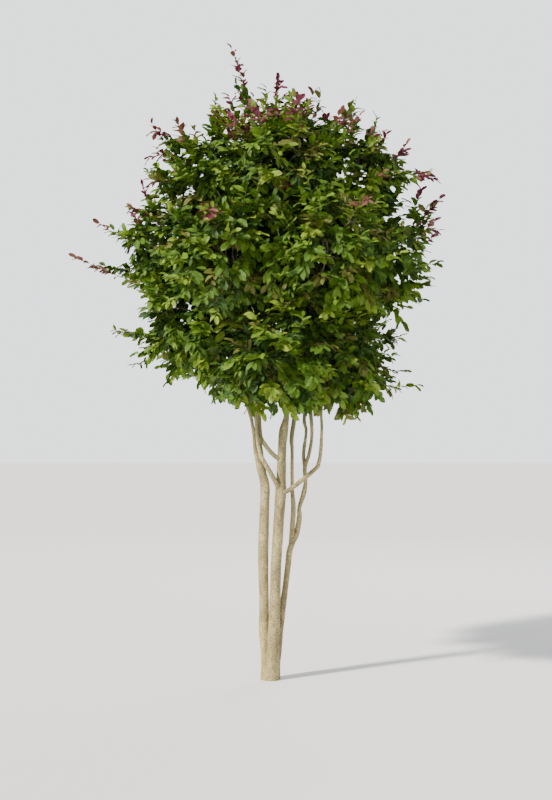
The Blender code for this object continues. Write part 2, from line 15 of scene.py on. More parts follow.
import bmesh
import bpy
import numpy as np
from mathutils import Matrix, Vector, noise
from mathutils.bvhtree import BVHTree
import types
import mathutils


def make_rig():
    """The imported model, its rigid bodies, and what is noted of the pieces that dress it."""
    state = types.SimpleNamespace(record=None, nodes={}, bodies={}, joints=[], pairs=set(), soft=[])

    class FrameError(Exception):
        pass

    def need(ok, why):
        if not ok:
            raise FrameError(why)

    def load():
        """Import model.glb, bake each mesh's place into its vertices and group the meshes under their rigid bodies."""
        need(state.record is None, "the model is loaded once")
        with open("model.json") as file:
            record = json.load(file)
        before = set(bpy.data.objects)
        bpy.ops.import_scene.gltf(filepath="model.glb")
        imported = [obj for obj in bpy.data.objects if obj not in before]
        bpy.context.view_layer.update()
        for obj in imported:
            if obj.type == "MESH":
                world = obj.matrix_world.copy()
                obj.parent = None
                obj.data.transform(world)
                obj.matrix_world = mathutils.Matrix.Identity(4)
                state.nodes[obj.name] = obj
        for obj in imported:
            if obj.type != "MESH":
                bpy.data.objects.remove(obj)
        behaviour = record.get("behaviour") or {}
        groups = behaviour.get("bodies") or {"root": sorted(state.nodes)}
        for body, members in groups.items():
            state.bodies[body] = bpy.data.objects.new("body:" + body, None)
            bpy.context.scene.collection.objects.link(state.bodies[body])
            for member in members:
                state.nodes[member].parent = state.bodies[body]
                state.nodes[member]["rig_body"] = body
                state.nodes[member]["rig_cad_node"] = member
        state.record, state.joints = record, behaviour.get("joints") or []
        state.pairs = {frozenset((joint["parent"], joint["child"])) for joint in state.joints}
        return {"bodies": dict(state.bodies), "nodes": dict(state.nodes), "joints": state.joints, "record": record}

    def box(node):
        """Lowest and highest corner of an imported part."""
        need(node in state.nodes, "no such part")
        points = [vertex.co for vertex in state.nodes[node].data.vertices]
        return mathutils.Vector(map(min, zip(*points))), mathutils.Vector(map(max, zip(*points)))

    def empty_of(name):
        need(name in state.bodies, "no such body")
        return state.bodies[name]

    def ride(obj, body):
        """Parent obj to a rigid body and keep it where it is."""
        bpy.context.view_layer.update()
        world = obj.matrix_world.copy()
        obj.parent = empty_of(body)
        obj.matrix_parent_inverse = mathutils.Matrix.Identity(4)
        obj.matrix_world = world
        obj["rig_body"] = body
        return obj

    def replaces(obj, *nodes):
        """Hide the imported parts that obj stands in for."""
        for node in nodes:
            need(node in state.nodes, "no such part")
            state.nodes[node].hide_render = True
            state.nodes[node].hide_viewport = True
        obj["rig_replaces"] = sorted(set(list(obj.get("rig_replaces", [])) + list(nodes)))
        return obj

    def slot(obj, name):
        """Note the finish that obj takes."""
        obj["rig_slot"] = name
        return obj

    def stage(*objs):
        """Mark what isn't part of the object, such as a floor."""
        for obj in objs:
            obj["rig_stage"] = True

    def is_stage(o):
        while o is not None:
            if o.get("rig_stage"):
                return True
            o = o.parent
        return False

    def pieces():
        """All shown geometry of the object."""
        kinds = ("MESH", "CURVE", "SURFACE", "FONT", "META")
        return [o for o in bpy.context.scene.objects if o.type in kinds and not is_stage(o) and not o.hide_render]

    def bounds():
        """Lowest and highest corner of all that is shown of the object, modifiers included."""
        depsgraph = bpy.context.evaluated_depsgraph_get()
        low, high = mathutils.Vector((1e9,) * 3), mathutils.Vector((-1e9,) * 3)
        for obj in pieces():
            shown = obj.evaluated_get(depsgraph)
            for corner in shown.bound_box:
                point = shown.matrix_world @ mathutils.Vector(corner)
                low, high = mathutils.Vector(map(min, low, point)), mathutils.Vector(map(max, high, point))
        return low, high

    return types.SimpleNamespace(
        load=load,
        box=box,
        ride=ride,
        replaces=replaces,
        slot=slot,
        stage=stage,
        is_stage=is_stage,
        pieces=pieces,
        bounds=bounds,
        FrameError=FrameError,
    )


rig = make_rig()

log = logging.getLogger("ironwood")

SIZE_FILE = "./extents.json"
BODY = "root"
FOLIAGE = "foliage_"

# Distances that the limbs and twigs keep, as in the solids
GAP = 0.0003
WELD = 0.00001
CELL_CLEARANCE = 0.0015
GROUND_CUT = 0.0

# Limbs, as in the solids
ENTRY_REACH = 0.8
ENTRY_TAPER = 0.85
BRANCH_BOW = 0.1

# Main twigs, as in the solids
STEM_START = 0.02
STEM_STEPS = 3
STEM_TAPER = 0.85
TWIG_STEPS = 2
TWIG_TIPS = 7
TWIG_REACH = 0.62
TWIG_LEAST_REACH = 0.45
TWIG_REACH_STEP = 0.07
TWIG_SHARE = 0.55
TWIG_TAPER = 0.8
TWIG_TURN_COST = 0.8
TWIG_BOW = 0.4
TWIG_RISE = 0.12
TIP_SCATTER = 0.035
TIP_ROOM = 0.05
SHOOT_STEPS = 2


# The least and the most of a range; a place, a colour or sizes; a place with a radius; and nodes
Span = tuple[float, float]
Triple = tuple[float, float, float]
Ball = tuple[float, float, float, float]
Socket = bpy.types.NodeSocket
Tree = bpy.types.NodeTree


class Mass(NamedTuple):
    """The space of one mass of foliage: its middle, its half sizes and the limb that feeds it."""

    centre: Triple
    radii: Triple
    limb: str


class Limb(NamedTuple):
    """A limb: what it springs from, its sides in the solids, and (x, y, z, radius) at its bends."""

    parent: str | None
    sides: int
    path: list[Ball]


class Shoot(NamedTuple):
    """A long shoot out of the crown: where it leaves its mass, its tip and its arch."""

    root: Triple
    tip: Triple
    arch: float = 0.0


# The spaces that the masses of foliage fill
MASSES = {
    "low_left": Mass((-0.46, -0.08, 2.34), (0.36, 0.34, 0.32), "stem_left"),
    "low_front": Mass((0.06, -0.4, 2.1), (0.36, 0.34, 0.32), "branch_low_front"),
    "low_right": Mass((0.44, -0.14, 2.09), (0.31, 0.34, 0.33), "branch_low_right"),
    "low_back_right": Mass((0.3, 0.42, 2.16), (0.34, 0.34, 0.33), "stem_right"),
    "low_back_left": Mass((-0.2, 0.4, 2.18), (0.34, 0.34, 0.32), "bough_left_back"),
    "mid_left": Mass((-0.56, 0.02, 2.8), (0.35, 0.36, 0.34), "bough_cross_high"),
    "mid_front_left": Mass((-0.22, -0.52, 2.7), (0.36, 0.34, 0.35), "bough_cross_low"),
    "mid_front_right": Mass((0.36, -0.52, 2.7), (0.36, 0.34, 0.35), "branch_front_right"),
    "mid_right": Mass((0.66, 0.0, 2.8), (0.33, 0.36, 0.36), "bough_right"),
    "mid_back_right": Mass((0.4, 0.52, 2.74), (0.36, 0.34, 0.35), "bough_right_back"),
    "mid_back_left": Mass((-0.2, 0.52, 2.76), (0.36, 0.34, 0.35), "branch_back_left"),
    "top_left": Mass((-0.36, -0.02, 3.24), (0.35, 0.35, 0.33), "branch_top_left"),
    "top_front": Mass((0.1, -0.36, 3.22), (0.34, 0.33, 0.33), "branch_top_front"),
    "top_right": Mass((0.5, -0.02, 3.24), (0.35, 0.35, 0.33), "branch_top_right"),
    "top_back": Mass((0.1, 0.36, 3.24), (0.34, 0.33, 0.33), "bough_mid"),
    "crown": Mass((0.06, 0.0, 3.46), (0.32, 0.32, 0.25), "stem_middle"),
}

# The limbs: what each springs from, its sides, and x, y, z and radius at its bends. Each then runs
# on to the edge of its mass, and a branch that is hidden in the crown has only its root here.
LIMBS = {
    "stem_left": Limb(None, 10, [
        (-0.004, 0.004, -0.08, 0.0465), (-0.016, 0.008, 0.15, 0.0365), (-0.033, 0.012, 0.315, 0.0335),
        (-0.0325, 0.013, 0.525, 0.031), (-0.038, 0.012, 0.8, 0.0345), (-0.029, 0.01, 1.12, 0.031),
        (-0.0285, 0.01, 1.27, 0.031), (-0.06, 0.008, 1.395, 0.0235), (-0.09, 0.003, 1.5, 0.0145),
        (-0.102, -0.004, 1.62, 0.011), (-0.15, -0.02, 1.8, 0.012)]),
    "stem_middle": Limb(None, 10, [
        (0.009, -0.012, -0.08, 0.047), (0.034, -0.007, 0.36, 0.0385), (0.046, -0.003, 0.735, 0.035),
        (0.07, 0.0, 1.12, 0.0355), (0.0765, 0.0, 1.22, 0.037), (0.081, 0.0, 1.365, 0.03),
        (0.087, 0.0, 1.52, 0.0283), (0.0955, 0.0, 1.62, 0.031), (0.116, 0.0, 1.73, 0.017),
        (0.124, 0.005, 1.92, 0.016), (0.105, 0.01, 2.4, 0.013), (0.085, 0.005, 2.9, 0.01)]),
    "stem_right": Limb(None, 10, [
        (0.024, 0.02, -0.08, 0.036), (0.072, 0.044, 0.315, 0.0235), (0.119, 0.052, 0.6825, 0.0205),
        (0.1375, 0.056, 0.84, 0.0205), (0.182, 0.072, 0.945, 0.0185), (0.201, 0.079, 1.05, 0.0172),
        (0.2, 0.08, 1.11, 0.0138), (0.229, 0.081, 1.2075, 0.016), (0.2415, 0.084, 1.28, 0.0125),
        (0.238, 0.088, 1.38, 0.015), (0.266, 0.095, 1.47, 0.012), (0.2845, 0.102, 1.6, 0.012),
        (0.276, 0.112, 1.77, 0.0135)]),
    "bough_mid": Limb("stem_right", 8, [
        (0.143, 0.058, 0.85, 0.016), (0.16, 0.052, 1.1, 0.0165), (0.153, 0.055, 1.25, 0.0118),
        (0.152, 0.06, 1.5, 0.0118), (0.149, 0.063, 1.575, 0.0145), (0.171, 0.09, 1.8, 0.0135),
        (0.15, 0.15, 2.3, 0.01), (0.13, 0.2, 2.75, 0.008)]),
    "bough_right_back": Limb("stem_right", 8, [
        (0.237, 0.088, 1.37, 0.013), (0.2295, 0.106, 1.47, 0.0116), (0.247, 0.124, 1.62, 0.0105),
        (0.236, 0.142, 1.74, 0.0115), (0.28, 0.3, 2.25, 0.009)]),
    "bough_right": Limb("stem_middle", 8, [
        (0.078, -0.008, 1.218, 0.017), (0.14, -0.034, 1.241, 0.0147), (0.3, -0.034, 1.37, 0.014),
        (0.3245, -0.034, 1.412, 0.0135), (0.338, -0.034, 1.49, 0.0125), (0.345, -0.034, 1.63, 0.01),
        (0.346, -0.034, 1.8, 0.0098), (0.42, 0.05, 2.05, 0.009), (0.5, 0.06, 2.35, 0.008)]),
    "bough_cross_low": Limb("stem_middle", 8, [
        (0.07, -0.006, 1.225, 0.017), (0.03, -0.05, 1.3125, 0.016), (-0.03, -0.062, 1.4175, 0.015),
        (-0.057, -0.06, 1.475, 0.0135), (-0.075, -0.056, 1.57, 0.0115), (-0.092, -0.07, 1.76, 0.011),
        (-0.155, -0.3, 2.3, 0.009)]),
    "bough_cross_high": Limb("stem_middle", 8, [
        (0.087, -0.004, 1.42, 0.0145), (0.023, -0.026, 1.47, 0.0145), (-0.0205, -0.03, 1.5225, 0.014),
        (-0.05, -0.026, 1.575, 0.0125), (-0.058, -0.022, 1.6275, 0.012), (-0.078, -0.02, 1.82, 0.011),
        (-0.19, -0.02, 2.2, 0.01)]),
    "bough_left_back": Limb("stem_left", 8, [
        (-0.032, 0.01, 1.33, 0.017), (-0.06, 0.052, 1.54, 0.014), (-0.082, 0.08, 1.8, 0.012)]),
    "branch_low_front": Limb("stem_middle", 6, [(0.121, 0.003, 1.8, 0.0095)]),
    "branch_low_right": Limb("bough_right", 6, [(0.347, -0.034, 1.8, 0.0085)]),
    "branch_front_right": Limb("stem_middle", 6, [(0.124, 0.006, 1.94, 0.01)]),
    "branch_back_left": Limb("stem_middle", 6, [(0.119, 0.007, 2.06, 0.01)]),
    "branch_top_right": Limb("stem_middle", 6, [(0.107, 0.01, 2.36, 0.009)]),
    "branch_top_left": Limb("stem_middle", 6, [(0.103, 0.01, 2.45, 0.009)]),
    "branch_top_front": Limb("stem_middle", 6, [(0.096, 0.009, 2.62, 0.0085)]),
}

# The long shoots that stand out of each mass
SHOOTS = {
    "crown": [Shoot((-0.1, 0.0, 3.66), (-0.262, 0.0, 4.195), 0.02),
        Shoot((0.04, -0.02, 3.7), (0.065, -0.02, 3.99)), Shoot((0.17, -0.1, 3.62), (0.19, -0.12, 3.84)),
        Shoot((0.24, 0.12, 3.6), (0.27, 0.14, 3.85))],
    "top_left": [Shoot((-0.33, -0.03, 3.48), (-0.36, -0.03, 3.87)),
        Shoot((-0.5, -0.04, 3.43), (-0.8, -0.04, 3.61), 0.03),
        Shoot((-0.52, -0.12, 3.32), (-0.82, -0.12, 3.41), 0.05),
        Shoot((-0.56, 0.06, 3.2), (-0.84, 0.06, 3.27), 0.04)],
    "top_right": [Shoot((0.42, 0.02, 3.52), (0.565, 0.02, 3.82)),
        Shoot((0.6, -0.05, 3.42), (0.71, -0.05, 3.55)), Shoot((0.74, 0.03, 3.28), (0.94, 0.03, 3.56)),
        Shoot((0.8, -0.1, 3.26), (1.14, -0.1, 3.25), 0.04)],
    "mid_right": [Shoot((0.9, 0.06, 2.86), (1.17, 0.06, 2.97), 0.03),
        Shoot((0.91, -0.04, 2.9), (1.15, -0.04, 3.18)), Shoot((0.72, -0.08, 2.54), (0.885, -0.08, 2.55))],
    "low_right": [Shoot((0.6, -0.04, 2.22), (0.85, -0.04, 2.21)),
        Shoot((0.54, -0.12, 1.94), (1.01, -0.12, 1.915), -0.02)],
    "mid_left": [Shoot((-0.72, -0.06, 2.98), (-0.95, -0.06, 3.1), 0.02),
        Shoot((-0.74, -0.16, 2.86), (-0.95, -0.18, 2.84)),
        Shoot((-0.74, 0.0, 2.55), (-1.315, 0.0, 2.78), -0.01)],
    "low_left": [Shoot((-0.6, -0.06, 2.21), (-0.85, -0.06, 2.2))],
    "top_back": [Shoot((0.12, 0.55, 3.42), (0.13, 0.8, 3.66))],
    "top_front": [Shoot((0.14, -0.55, 3.4), (0.16, -0.74, 3.6))],
    "mid_back_left": [Shoot((-0.3, 0.76, 2.88), (-0.45, 1.0, 3.02), 0.03)],
    "mid_back_right": [Shoot((0.5, 0.76, 2.86), (0.66, 1.0, 3.04), 0.03)],
    "mid_front_left": [Shoot((-0.28, -0.76, 2.84), (-0.36, -0.98, 2.92), 0.03)],
    "mid_front_right": [Shoot((0.48, -0.76, 2.86), (0.6, -0.98, 2.98), 0.03)],
}


class Tint(Enum):
    """The leaf colours, each dealt to whole sprays."""

    DEEP = "deep_green"
    MID = "mid_green"
    FRESH = "fresh_green"
    LIME = "yellow_green"
    OLIVE = "olive"
    BRONZE = "bronze"
    WINE = "wine"
    ROSE = "rose"


# Sprays inside a mass are dealt darker greens as painted shade, and sprays near its edge lighter, yellower greens as
# painted light
INNER_PAINTED_SHADE_TINTS = {Tint.DEEP: 30, Tint.MID: 42, Tint.FRESH: 16, Tint.OLIVE: 12}
OUTER_PAINTED_LIGHT_TINTS = {Tint.DEEP: 10, Tint.MID: 34, Tint.FRESH: 30, Tint.LIME: 17, Tint.OLIVE: 9}
TIP_TINTS = {Tint.FRESH: 10, Tint.OLIVE: 12, Tint.BRONZE: 38, Tint.WINE: 40}

# The lowest that leaves hang
CROWN_FOOT = 1.8

# Places of the single sprays with pink leaves
ROSE_PLACES = (
    Vector((0.14, -0.55, 3.08)), Vector((-0.48, -0.40, 2.68)), Vector((-0.49, -0.35, 2.45)),
    Vector((0.20, -0.70, 2.16)), Vector((0.54, -0.40, 3.23)), Vector((-0.57, -0.30, 2.89)),
)


def smooth_path(points: list[Vector], steps: int) -> list[Vector]:
    """Draw a Catmull-Rom curve.

    Args:
        points: The points that the curve goes through.
        steps: The number of spans between one point and the next.

    Returns:
        The curve's points.
    """
    knots = [2 * points[0] - points[1], *points, 2 * points[-1] - points[-2]]
    path = []
    for a, b, c, d in zip(knots, knots[1:], knots[2:], knots[3:]):
        for step in range(steps):
            t = step / steps
            bend = (3 * b - a - 3 * c + d) * t**3 + (2 * a - 5 * b + 4 * c - d) * t**2
            path.append(0.5 * (2 * b + (c - a) * t + bend))
    return [*path, points[-1]]


def bezier(start: Vector, middle: Vector, end: Vector, steps: int) -> list[Vector]:
    """Draw a quadratic Bezier curve.

    Args:
        start: The first point.
        middle: The control point.
        end: The last point.
        steps: The number of spans.

    Returns:
        The curve's points.
    """
    turns = [step / steps for step in range(steps + 1)]
    return [start * (1 - t) ** 2 + middle * (2 * t * (1 - t)) + end * t**2 for t in turns]


def reach(point: Vector, mass: Mass) -> float:
    """How far out a point is in a mass's space: 0 at its middle and 1 at its edge."""
    spans = zip(point, mass.centre, mass.radii)
    return math.sqrt(sum(((p - c) / r) ** 2 for p, c, r in spans))


def power(point: Vector, mass: Mass) -> float:
    """A point's squared distance from a mass's middle, less the square of its mean radius."""
    return (point - Vector(mass.centre)).length_squared - math.prod(mass.radii) ** (2 / 3)


def in_cell(point: Vector, name: str) -> bool:
    """Whether a point is nearer to this mass than to any other, by the power of each."""
    own = MASSES[name]
    own_power = power(point, own)
    for other_name, other in MASSES.items():
        if other_name == name:
            continue
        apart = (Vector(own.centre) - Vector(other.centre)).length
        if power(point, other) - own_power < 2 * apart * CELL_CLEARANCE:
            return False
    return True


def limb_path(name: str, steps: int) -> list[Vector]:
    """Find the line of a limb, from its root to the edge of its mass.

    Args:
        name: The limb.
        steps: The number of spans between its bends.

    Returns:
        Points of x, y, z and radius.
    """
    limb = LIMBS[name]
    mass = next(mass for mass in MASSES.values() if mass.limb == name)
    centre = Vector(mass.centre)
    last = Vector(limb.path[-1][:3])
    entry = centre + (last - centre) * (ENTRY_REACH / reach(last, mass))
    radius = limb.path[-1][3]
    bends = [Vector(point) for point in limb.path]
    if len(bends) == 1:
        middle = last.lerp(entry, 0.5) + Vector((0, 0, BRANCH_BOW * (entry - last).length))
        curve = bezier(last, middle, entry, 2 * steps)
        radii = [radius * (1 - (1 - ENTRY_TAPER) * i / (2 * steps)) for i in range(len(curve))]
        return [Vector((*point, r)) for point, r in zip(curve, radii)]
    bends.append(Vector((*entry, radius * ENTRY_TAPER)))
    return smooth_path(bends, steps)


def link(name: str, mesh: bpy.types.Mesh) -> bpy.types.Object:
    """Put a mesh in the scene as an object of that name."""
    piece = bpy.data.objects.new(name, mesh)
    bpy.context.scene.collection.objects.link(piece)
    return piece


def dress(piece: bpy.types.Object, nodes: list[str], slot: str) -> None:
    """Let a piece stand for solids, and log it.

    Args:
        piece: The piece.
        nodes: The solids that it stands for.
        slot: Its material slot.
    """
    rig.replaces(piece, *nodes)
    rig.ride(piece, BODY)
    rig.slot(piece, slot)
    log.info("%s: %d faces", piece.name, len(piece.data.polygons))


def mesh_of_triangles(name: str, corners: np.ndarray, triangles: np.ndarray) -> bpy.types.Mesh:
    """Make one joined mesh from arrays.

    Args:
        name: The mesh's name.
        corners: One row of x, y, z for each vertex.
        triangles: One row of three vertex numbers for each face.

    Returns:
        The mesh.
    """
    mesh = bpy.data.meshes.new(name)
    mesh.vertices.add(len(corners))
    mesh.vertices.foreach_set("co", corners.astype(np.float32).ravel())
    mesh.loops.add(3 * len(triangles))
    mesh.loops.foreach_set("vertex_index", triangles.astype(np.int32).ravel())
    mesh.polygons.add(len(triangles))
    mesh.polygons.foreach_set("loop_start", np.arange(0, 3 * len(triangles), 3, dtype=np.int32))
    mesh.update(calc_edges=True)
    mesh.validate()
    return mesh


# What part of the noise is stretched over 0 to 1, for the patches and for the grain
PATCH_RANGE = (0.35, 0.65)
GRAIN_RANGE = (0.3, 0.7)


class Mottling(NamedTuple):
    """How many patches and grains there are in a metre, and how close they are along the height."""

    patches: float
    grain: float
    stretch: float = 1.0


@dataclass
class NodeBench:
    """A node tree that is being wired."""

    tree: Tree

    def add(self, kind: str, **values: object) -> bpy.types.Node:
        """Add a node.

        Args:
            kind: The node's type.
            **values: Settings of the node, or values of inputs by their name.

        Returns:
            The node.
        """
        node = self.tree.nodes.new(kind)
        for key, value in values.items():
            if hasattr(node, key):
                setattr(node, key, value)
            else:
                node.inputs[key.replace("_", " ")].default_value = value
        return node

    def wire(self, source: Socket, target: Socket) -> None:
        """Join an output to an input."""
        self.tree.links.new(source, target)

    def product(self, first: Socket, second: object) -> Socket:
        """Multiply a socket by a number or a second socket.

        Args:
            first: The first factor.
            second: The second factor.

        Returns:
            The product, kept between 0 and 1.
        """
        node = self.add("ShaderNodeMath", operation="MULTIPLY", use_clamp=True)
        self.wire(first, node.inputs[0])
        if isinstance(second, Socket):
            self.wire(second, node.inputs[1])
        else:
            node.inputs[1].default_value = second
        return node.outputs[0]

    def ramp(self, value: Socket, low: float, high: float) -> Socket:
        """Stretch what lies between two values over 0 to 1.

        Args:
            value: The socket to stretch.
            low: What becomes 0.
            high: What becomes 1.

        Returns:
            The stretched value.
        """
        node = self.tree.nodes.new("ShaderNodeMapRange")
        node.inputs["From Min"].default_value = low
        node.inputs["From Max"].default_value = high
        self.wire(value, node.inputs["Value"])
        return node.outputs["Result"]

    def roughen(self, shader: bpy.types.Node, grain: Socket, roughness: Span) -> None:
        """Let a surface's roughness follow its grain.

        Args:
            shader: The surface's shader.
            grain: The grain, from 0 to 1.
            roughness: The least and the most.
        """
        least, most = roughness
        spread = self.add("ShaderNodeMapRange", To_Min=least, To_Max=most)
        self.wire(grain, spread.inputs["Value"])
        self.wire(spread.outputs["Result"], shader.inputs["Roughness"])

    def blend(self, share: Socket, under: object, over: object) -> Socket:
        """Mix two colours.

        Args:
            share: How much of the second shows.
            under: The first colour, or a socket that gives it.
            over: The second colour, or a socket that gives it.

        Returns:
            The mixed colour.
        """
        node = self.tree.nodes.new("ShaderNodeMix")
        node.data_type = "RGBA"
        self.wire(share, node.inputs["Factor"])
        colours = [socket for socket in node.inputs if socket.type == "RGBA"]
        for socket, colour in zip(colours, (under, over)):
            if isinstance(colour, Socket):
                self.wire(colour, socket)
            else:
                socket.default_value = (*colour, 1)
        return next(socket for socket in node.outputs if socket.type == "RGBA")

    def mottle(self, group: Tree, mottling: Mottling) -> bpy.types.Node:
        """Set in the shared patches and grain.

        Args:
            group: The shared group.
            mottling: The values for this material.

        Returns:
            The group's node.
        """
        return self.add("ShaderNodeGroup", node_tree=group, Patches_per_metre=mottling.patches,
                        Grain_per_metre=mottling.grain, Stretch=mottling.stretch)


def mottle_group() -> Tree:
    """Build the patches and grain that the bark and the leaves share, from an object's own places.

    Returns:
        A group that puts out broad patches, fine grain and a height, all from 0 to 1.
    """
    group = bpy.data.node_groups.new("mottle", "ShaderNodeTree")
    for name in ("Patches per metre", "Grain per metre", "Stretch"):
        group.interface.new_socket(name=name, in_out="INPUT", socket_type="NodeSocketFloat")
    for name in ("Patches", "Grain", "Height"):
        group.interface.new_socket(name=name, in_out="OUTPUT", socket_type="NodeSocketFloat")
    bench = NodeBench(group)
    entry = bench.add("NodeGroupInput")
    leave = bench.add("NodeGroupOutput")
    place = bench.add("ShaderNodeTexCoord")
    squeeze = bench.add("ShaderNodeCombineXYZ", X=1.0, Y=1.0)
    bench.wire(entry.outputs["Stretch"], squeeze.inputs["Z"])
    mapping = bench.add("ShaderNodeMapping")
    bench.wire(place.outputs["Object"], mapping.inputs["Vector"])
    bench.wire(squeeze.outputs[0], mapping.inputs["Scale"])
    patches = bench.add("ShaderNodeTexNoise", Detail=5.0, Roughness=0.6, Distortion=0.4)
    bench.wire(mapping.outputs[0], patches.inputs["Vector"])
    bench.wire(entry.outputs["Patches per metre"], patches.inputs["Scale"])
    grain = bench.add("ShaderNodeTexNoise", Detail=4.0, Roughness=0.65)
    bench.wire(mapping.outputs[0], grain.inputs["Vector"])
    bench.wire(entry.outputs["Grain per metre"], grain.inputs["Scale"])
    bench.wire(bench.ramp(patches.outputs[0], *PATCH_RANGE), leave.inputs["Patches"])
    bench.wire(bench.ramp(grain.outputs[0], *GRAIN_RANGE), leave.inputs["Grain"])
    bench.wire(bench.product(grain.outputs[0], patches.outputs[0]), leave.inputs["Height"])
    return group


@dataclass(frozen=True)
class BarkFinish:
    """The bark: pale and speckled, with algae above and yellow lichen at the foot."""

    name: str = "bark"
    pale: Triple = (0.60, 0.50, 0.225)
    tan: Triple = (0.25, 0.19, 0.085)
    dark: Triple = (0.075, 0.058, 0.035)
    algae: Triple = (0.17, 0.18, 0.075)
    lichen: Triple = (0.52, 0.42, 0.10)
    lilac: Triple = (0.36, 0.31, 0.31)
    broad: Mottling = Mottling(16, 190, 0.4)
    spots: Mottling = Mottling(165, 420, 0.8)
    speckle: float = 0.85
    speckle_range: Span = (0.35, 0.85)
    lichen_share: float = 0.9
    lichen_heights: Span = (0.55, 0.05)
    lichen_sides: Span = (0.02, -0.05)
    crust_range: Span = (0.35, 0.75)
    algae_share: float = 0.75
    algae_heights: Span = (1.15, 1.7)
    algae_range: Span = (0.9, 0.3)
    stain_share: float = 0.35
    stain_range: Span = (0.75, 0.95)
    roughness: Span = (0.72, 0.95)
    bump_strength: float = 0.9
    bump_distance: float = 0.005

    def make(self, mottle: Tree) -> bpy.types.Material:
        """Wire the bark.

        Args:
            mottle: The shared group of patches and grain.

        Returns:
            The material.
        """
        material = bpy.data.materials.new(self.name)
        material.use_nodes = True
        bench = NodeBench(material.node_tree)
        shader = material.node_tree.nodes["Principled BSDF"]
        broad = bench.mottle(mottle, self.broad)
        spots = bench.mottle(mottle, self.spots)
        colour = bench.blend(broad.outputs["Patches"], self.tan, self.pale)
        speckle = bench.ramp(spots.outputs["Patches"], *self.speckle_range)
        colour = bench.blend(bench.product(speckle, self.speckle), colour, self.dark)
        place = bench.add("ShaderNodeTexCoord")
        axes = bench.add("ShaderNodeSeparateXYZ")
        bench.wire(place.outputs["Object"], axes.inputs[0])
        low = bench.ramp(axes.outputs["Z"], *self.lichen_heights)
        left = bench.ramp(axes.outputs["X"], *self.lichen_sides)
        crust = bench.ramp(broad.outputs["Grain"], *self.crust_range)
        lichen = bench.product(bench.product(low, left), crust)
        colour = bench.blend(bench.product(lichen, self.lichen_share), colour, self.lichen)
        high = bench.ramp(axes.outputs["Z"], *self.algae_heights)
        damp = bench.product(high, bench.ramp(broad.outputs["Patches"], *self.algae_range))
        colour = bench.blend(bench.product(damp, self.algae_share), colour, self.algae)
        stain = bench.ramp(spots.outputs["Grain"], *self.stain_range)
        colour = bench.blend(bench.product(stain, self.stain_share), colour, self.lilac)
        bench.wire(colour, shader.inputs["Base Color"])
        bench.roughen(shader, broad.outputs["Grain"], self.roughness)
        bump = bench.add("ShaderNodeBump", Strength=self.bump_strength, Distance=self.bump_distance)
        bench.wire(broad.outputs["Height"], bump.inputs["Height"])
        bench.wire(bump.outputs["Normal"], shader.inputs["Normal"])
        return material


YOUNG_BARK = BarkFinish(name="young_bark", pale=(0.24, 0.21, 0.11), tan=(0.15, 0.13, 0.07))


@dataclass(frozen=True)
class LeafFinish:
    """One leaf colour, with some light let through."""

    name: str
    colour: Triple
    glow: Triple
    mottling: Mottling = Mottling(14, 160)
    shaded: float = 0.72
    roughness: Span = (0.44, 0.66)
    shine: float = 0.3
    through: float = 0.32

    def make(self, mottle: Tree) -> bpy.types.Material:
        """Wire the leaf.

        Args:
            mottle: The shared group of patches and grain.

        Returns:
            The material.
        """
        material = bpy.data.materials.new(self.name)
        material.use_nodes = True
        bench = NodeBench(material.node_tree)
        nodes = material.node_tree.nodes
        shader = nodes["Principled BSDF"]
        shader.inputs["Specular IOR Level"].default_value = self.shine
        vary = bench.mottle(mottle, self.mottling)
        darker = tuple(self.shaded * channel for channel in self.colour)
        colour = bench.blend(vary.outputs["Patches"], darker, self.colour)
        bench.wire(colour, shader.inputs["Base Color"])
        bench.roughen(shader, vary.outputs["Grain"], self.roughness)
        sheet = bench.add("ShaderNodeBsdfTranslucent", Color=(*self.glow, 1))
        mix = bench.add("ShaderNodeMixShader")
        mix.inputs[0].default_value = self.through
        bench.wire(shader.outputs[0], mix.inputs[1])
        bench.wire(sheet.outputs[0], mix.inputs[2])
        bench.wire(mix.outputs[0], nodes["Material Output"].inputs["Surface"])
        return material


LEAF_FINISHES = {
    Tint.DEEP: LeafFinish("leaf_deep_green", (0.045, 0.105, 0.014), (0.12, 0.24, 0.02)),
    Tint.MID: LeafFinish("leaf_mid_green", (0.100, 0.195, 0.018), (0.24, 0.42, 0.03)),
    Tint.FRESH: LeafFinish("leaf_fresh_green", (0.170, 0.290, 0.024), (0.36, 0.54, 0.03)),
    Tint.LIME: LeafFinish("leaf_yellow_green", (0.280, 0.390, 0.040), (0.48, 0.62, 0.05)),
    Tint.OLIVE: LeafFinish("leaf_olive", (0.185, 0.200, 0.040), (0.32, 0.32, 0.05)),
    Tint.BRONZE: LeafFinish("leaf_bronze", (0.270, 0.120, 0.080), (0.48, 0.18, 0.12)),
    Tint.WINE: LeafFinish("leaf_wine", (0.200, 0.042, 0.075), (0.46, 0.09, 0.16)),
    Tint.ROSE: LeafFinish("leaf_rose", (0.480, 0.110, 0.120), (0.60, 0.14, 0.14)),
}


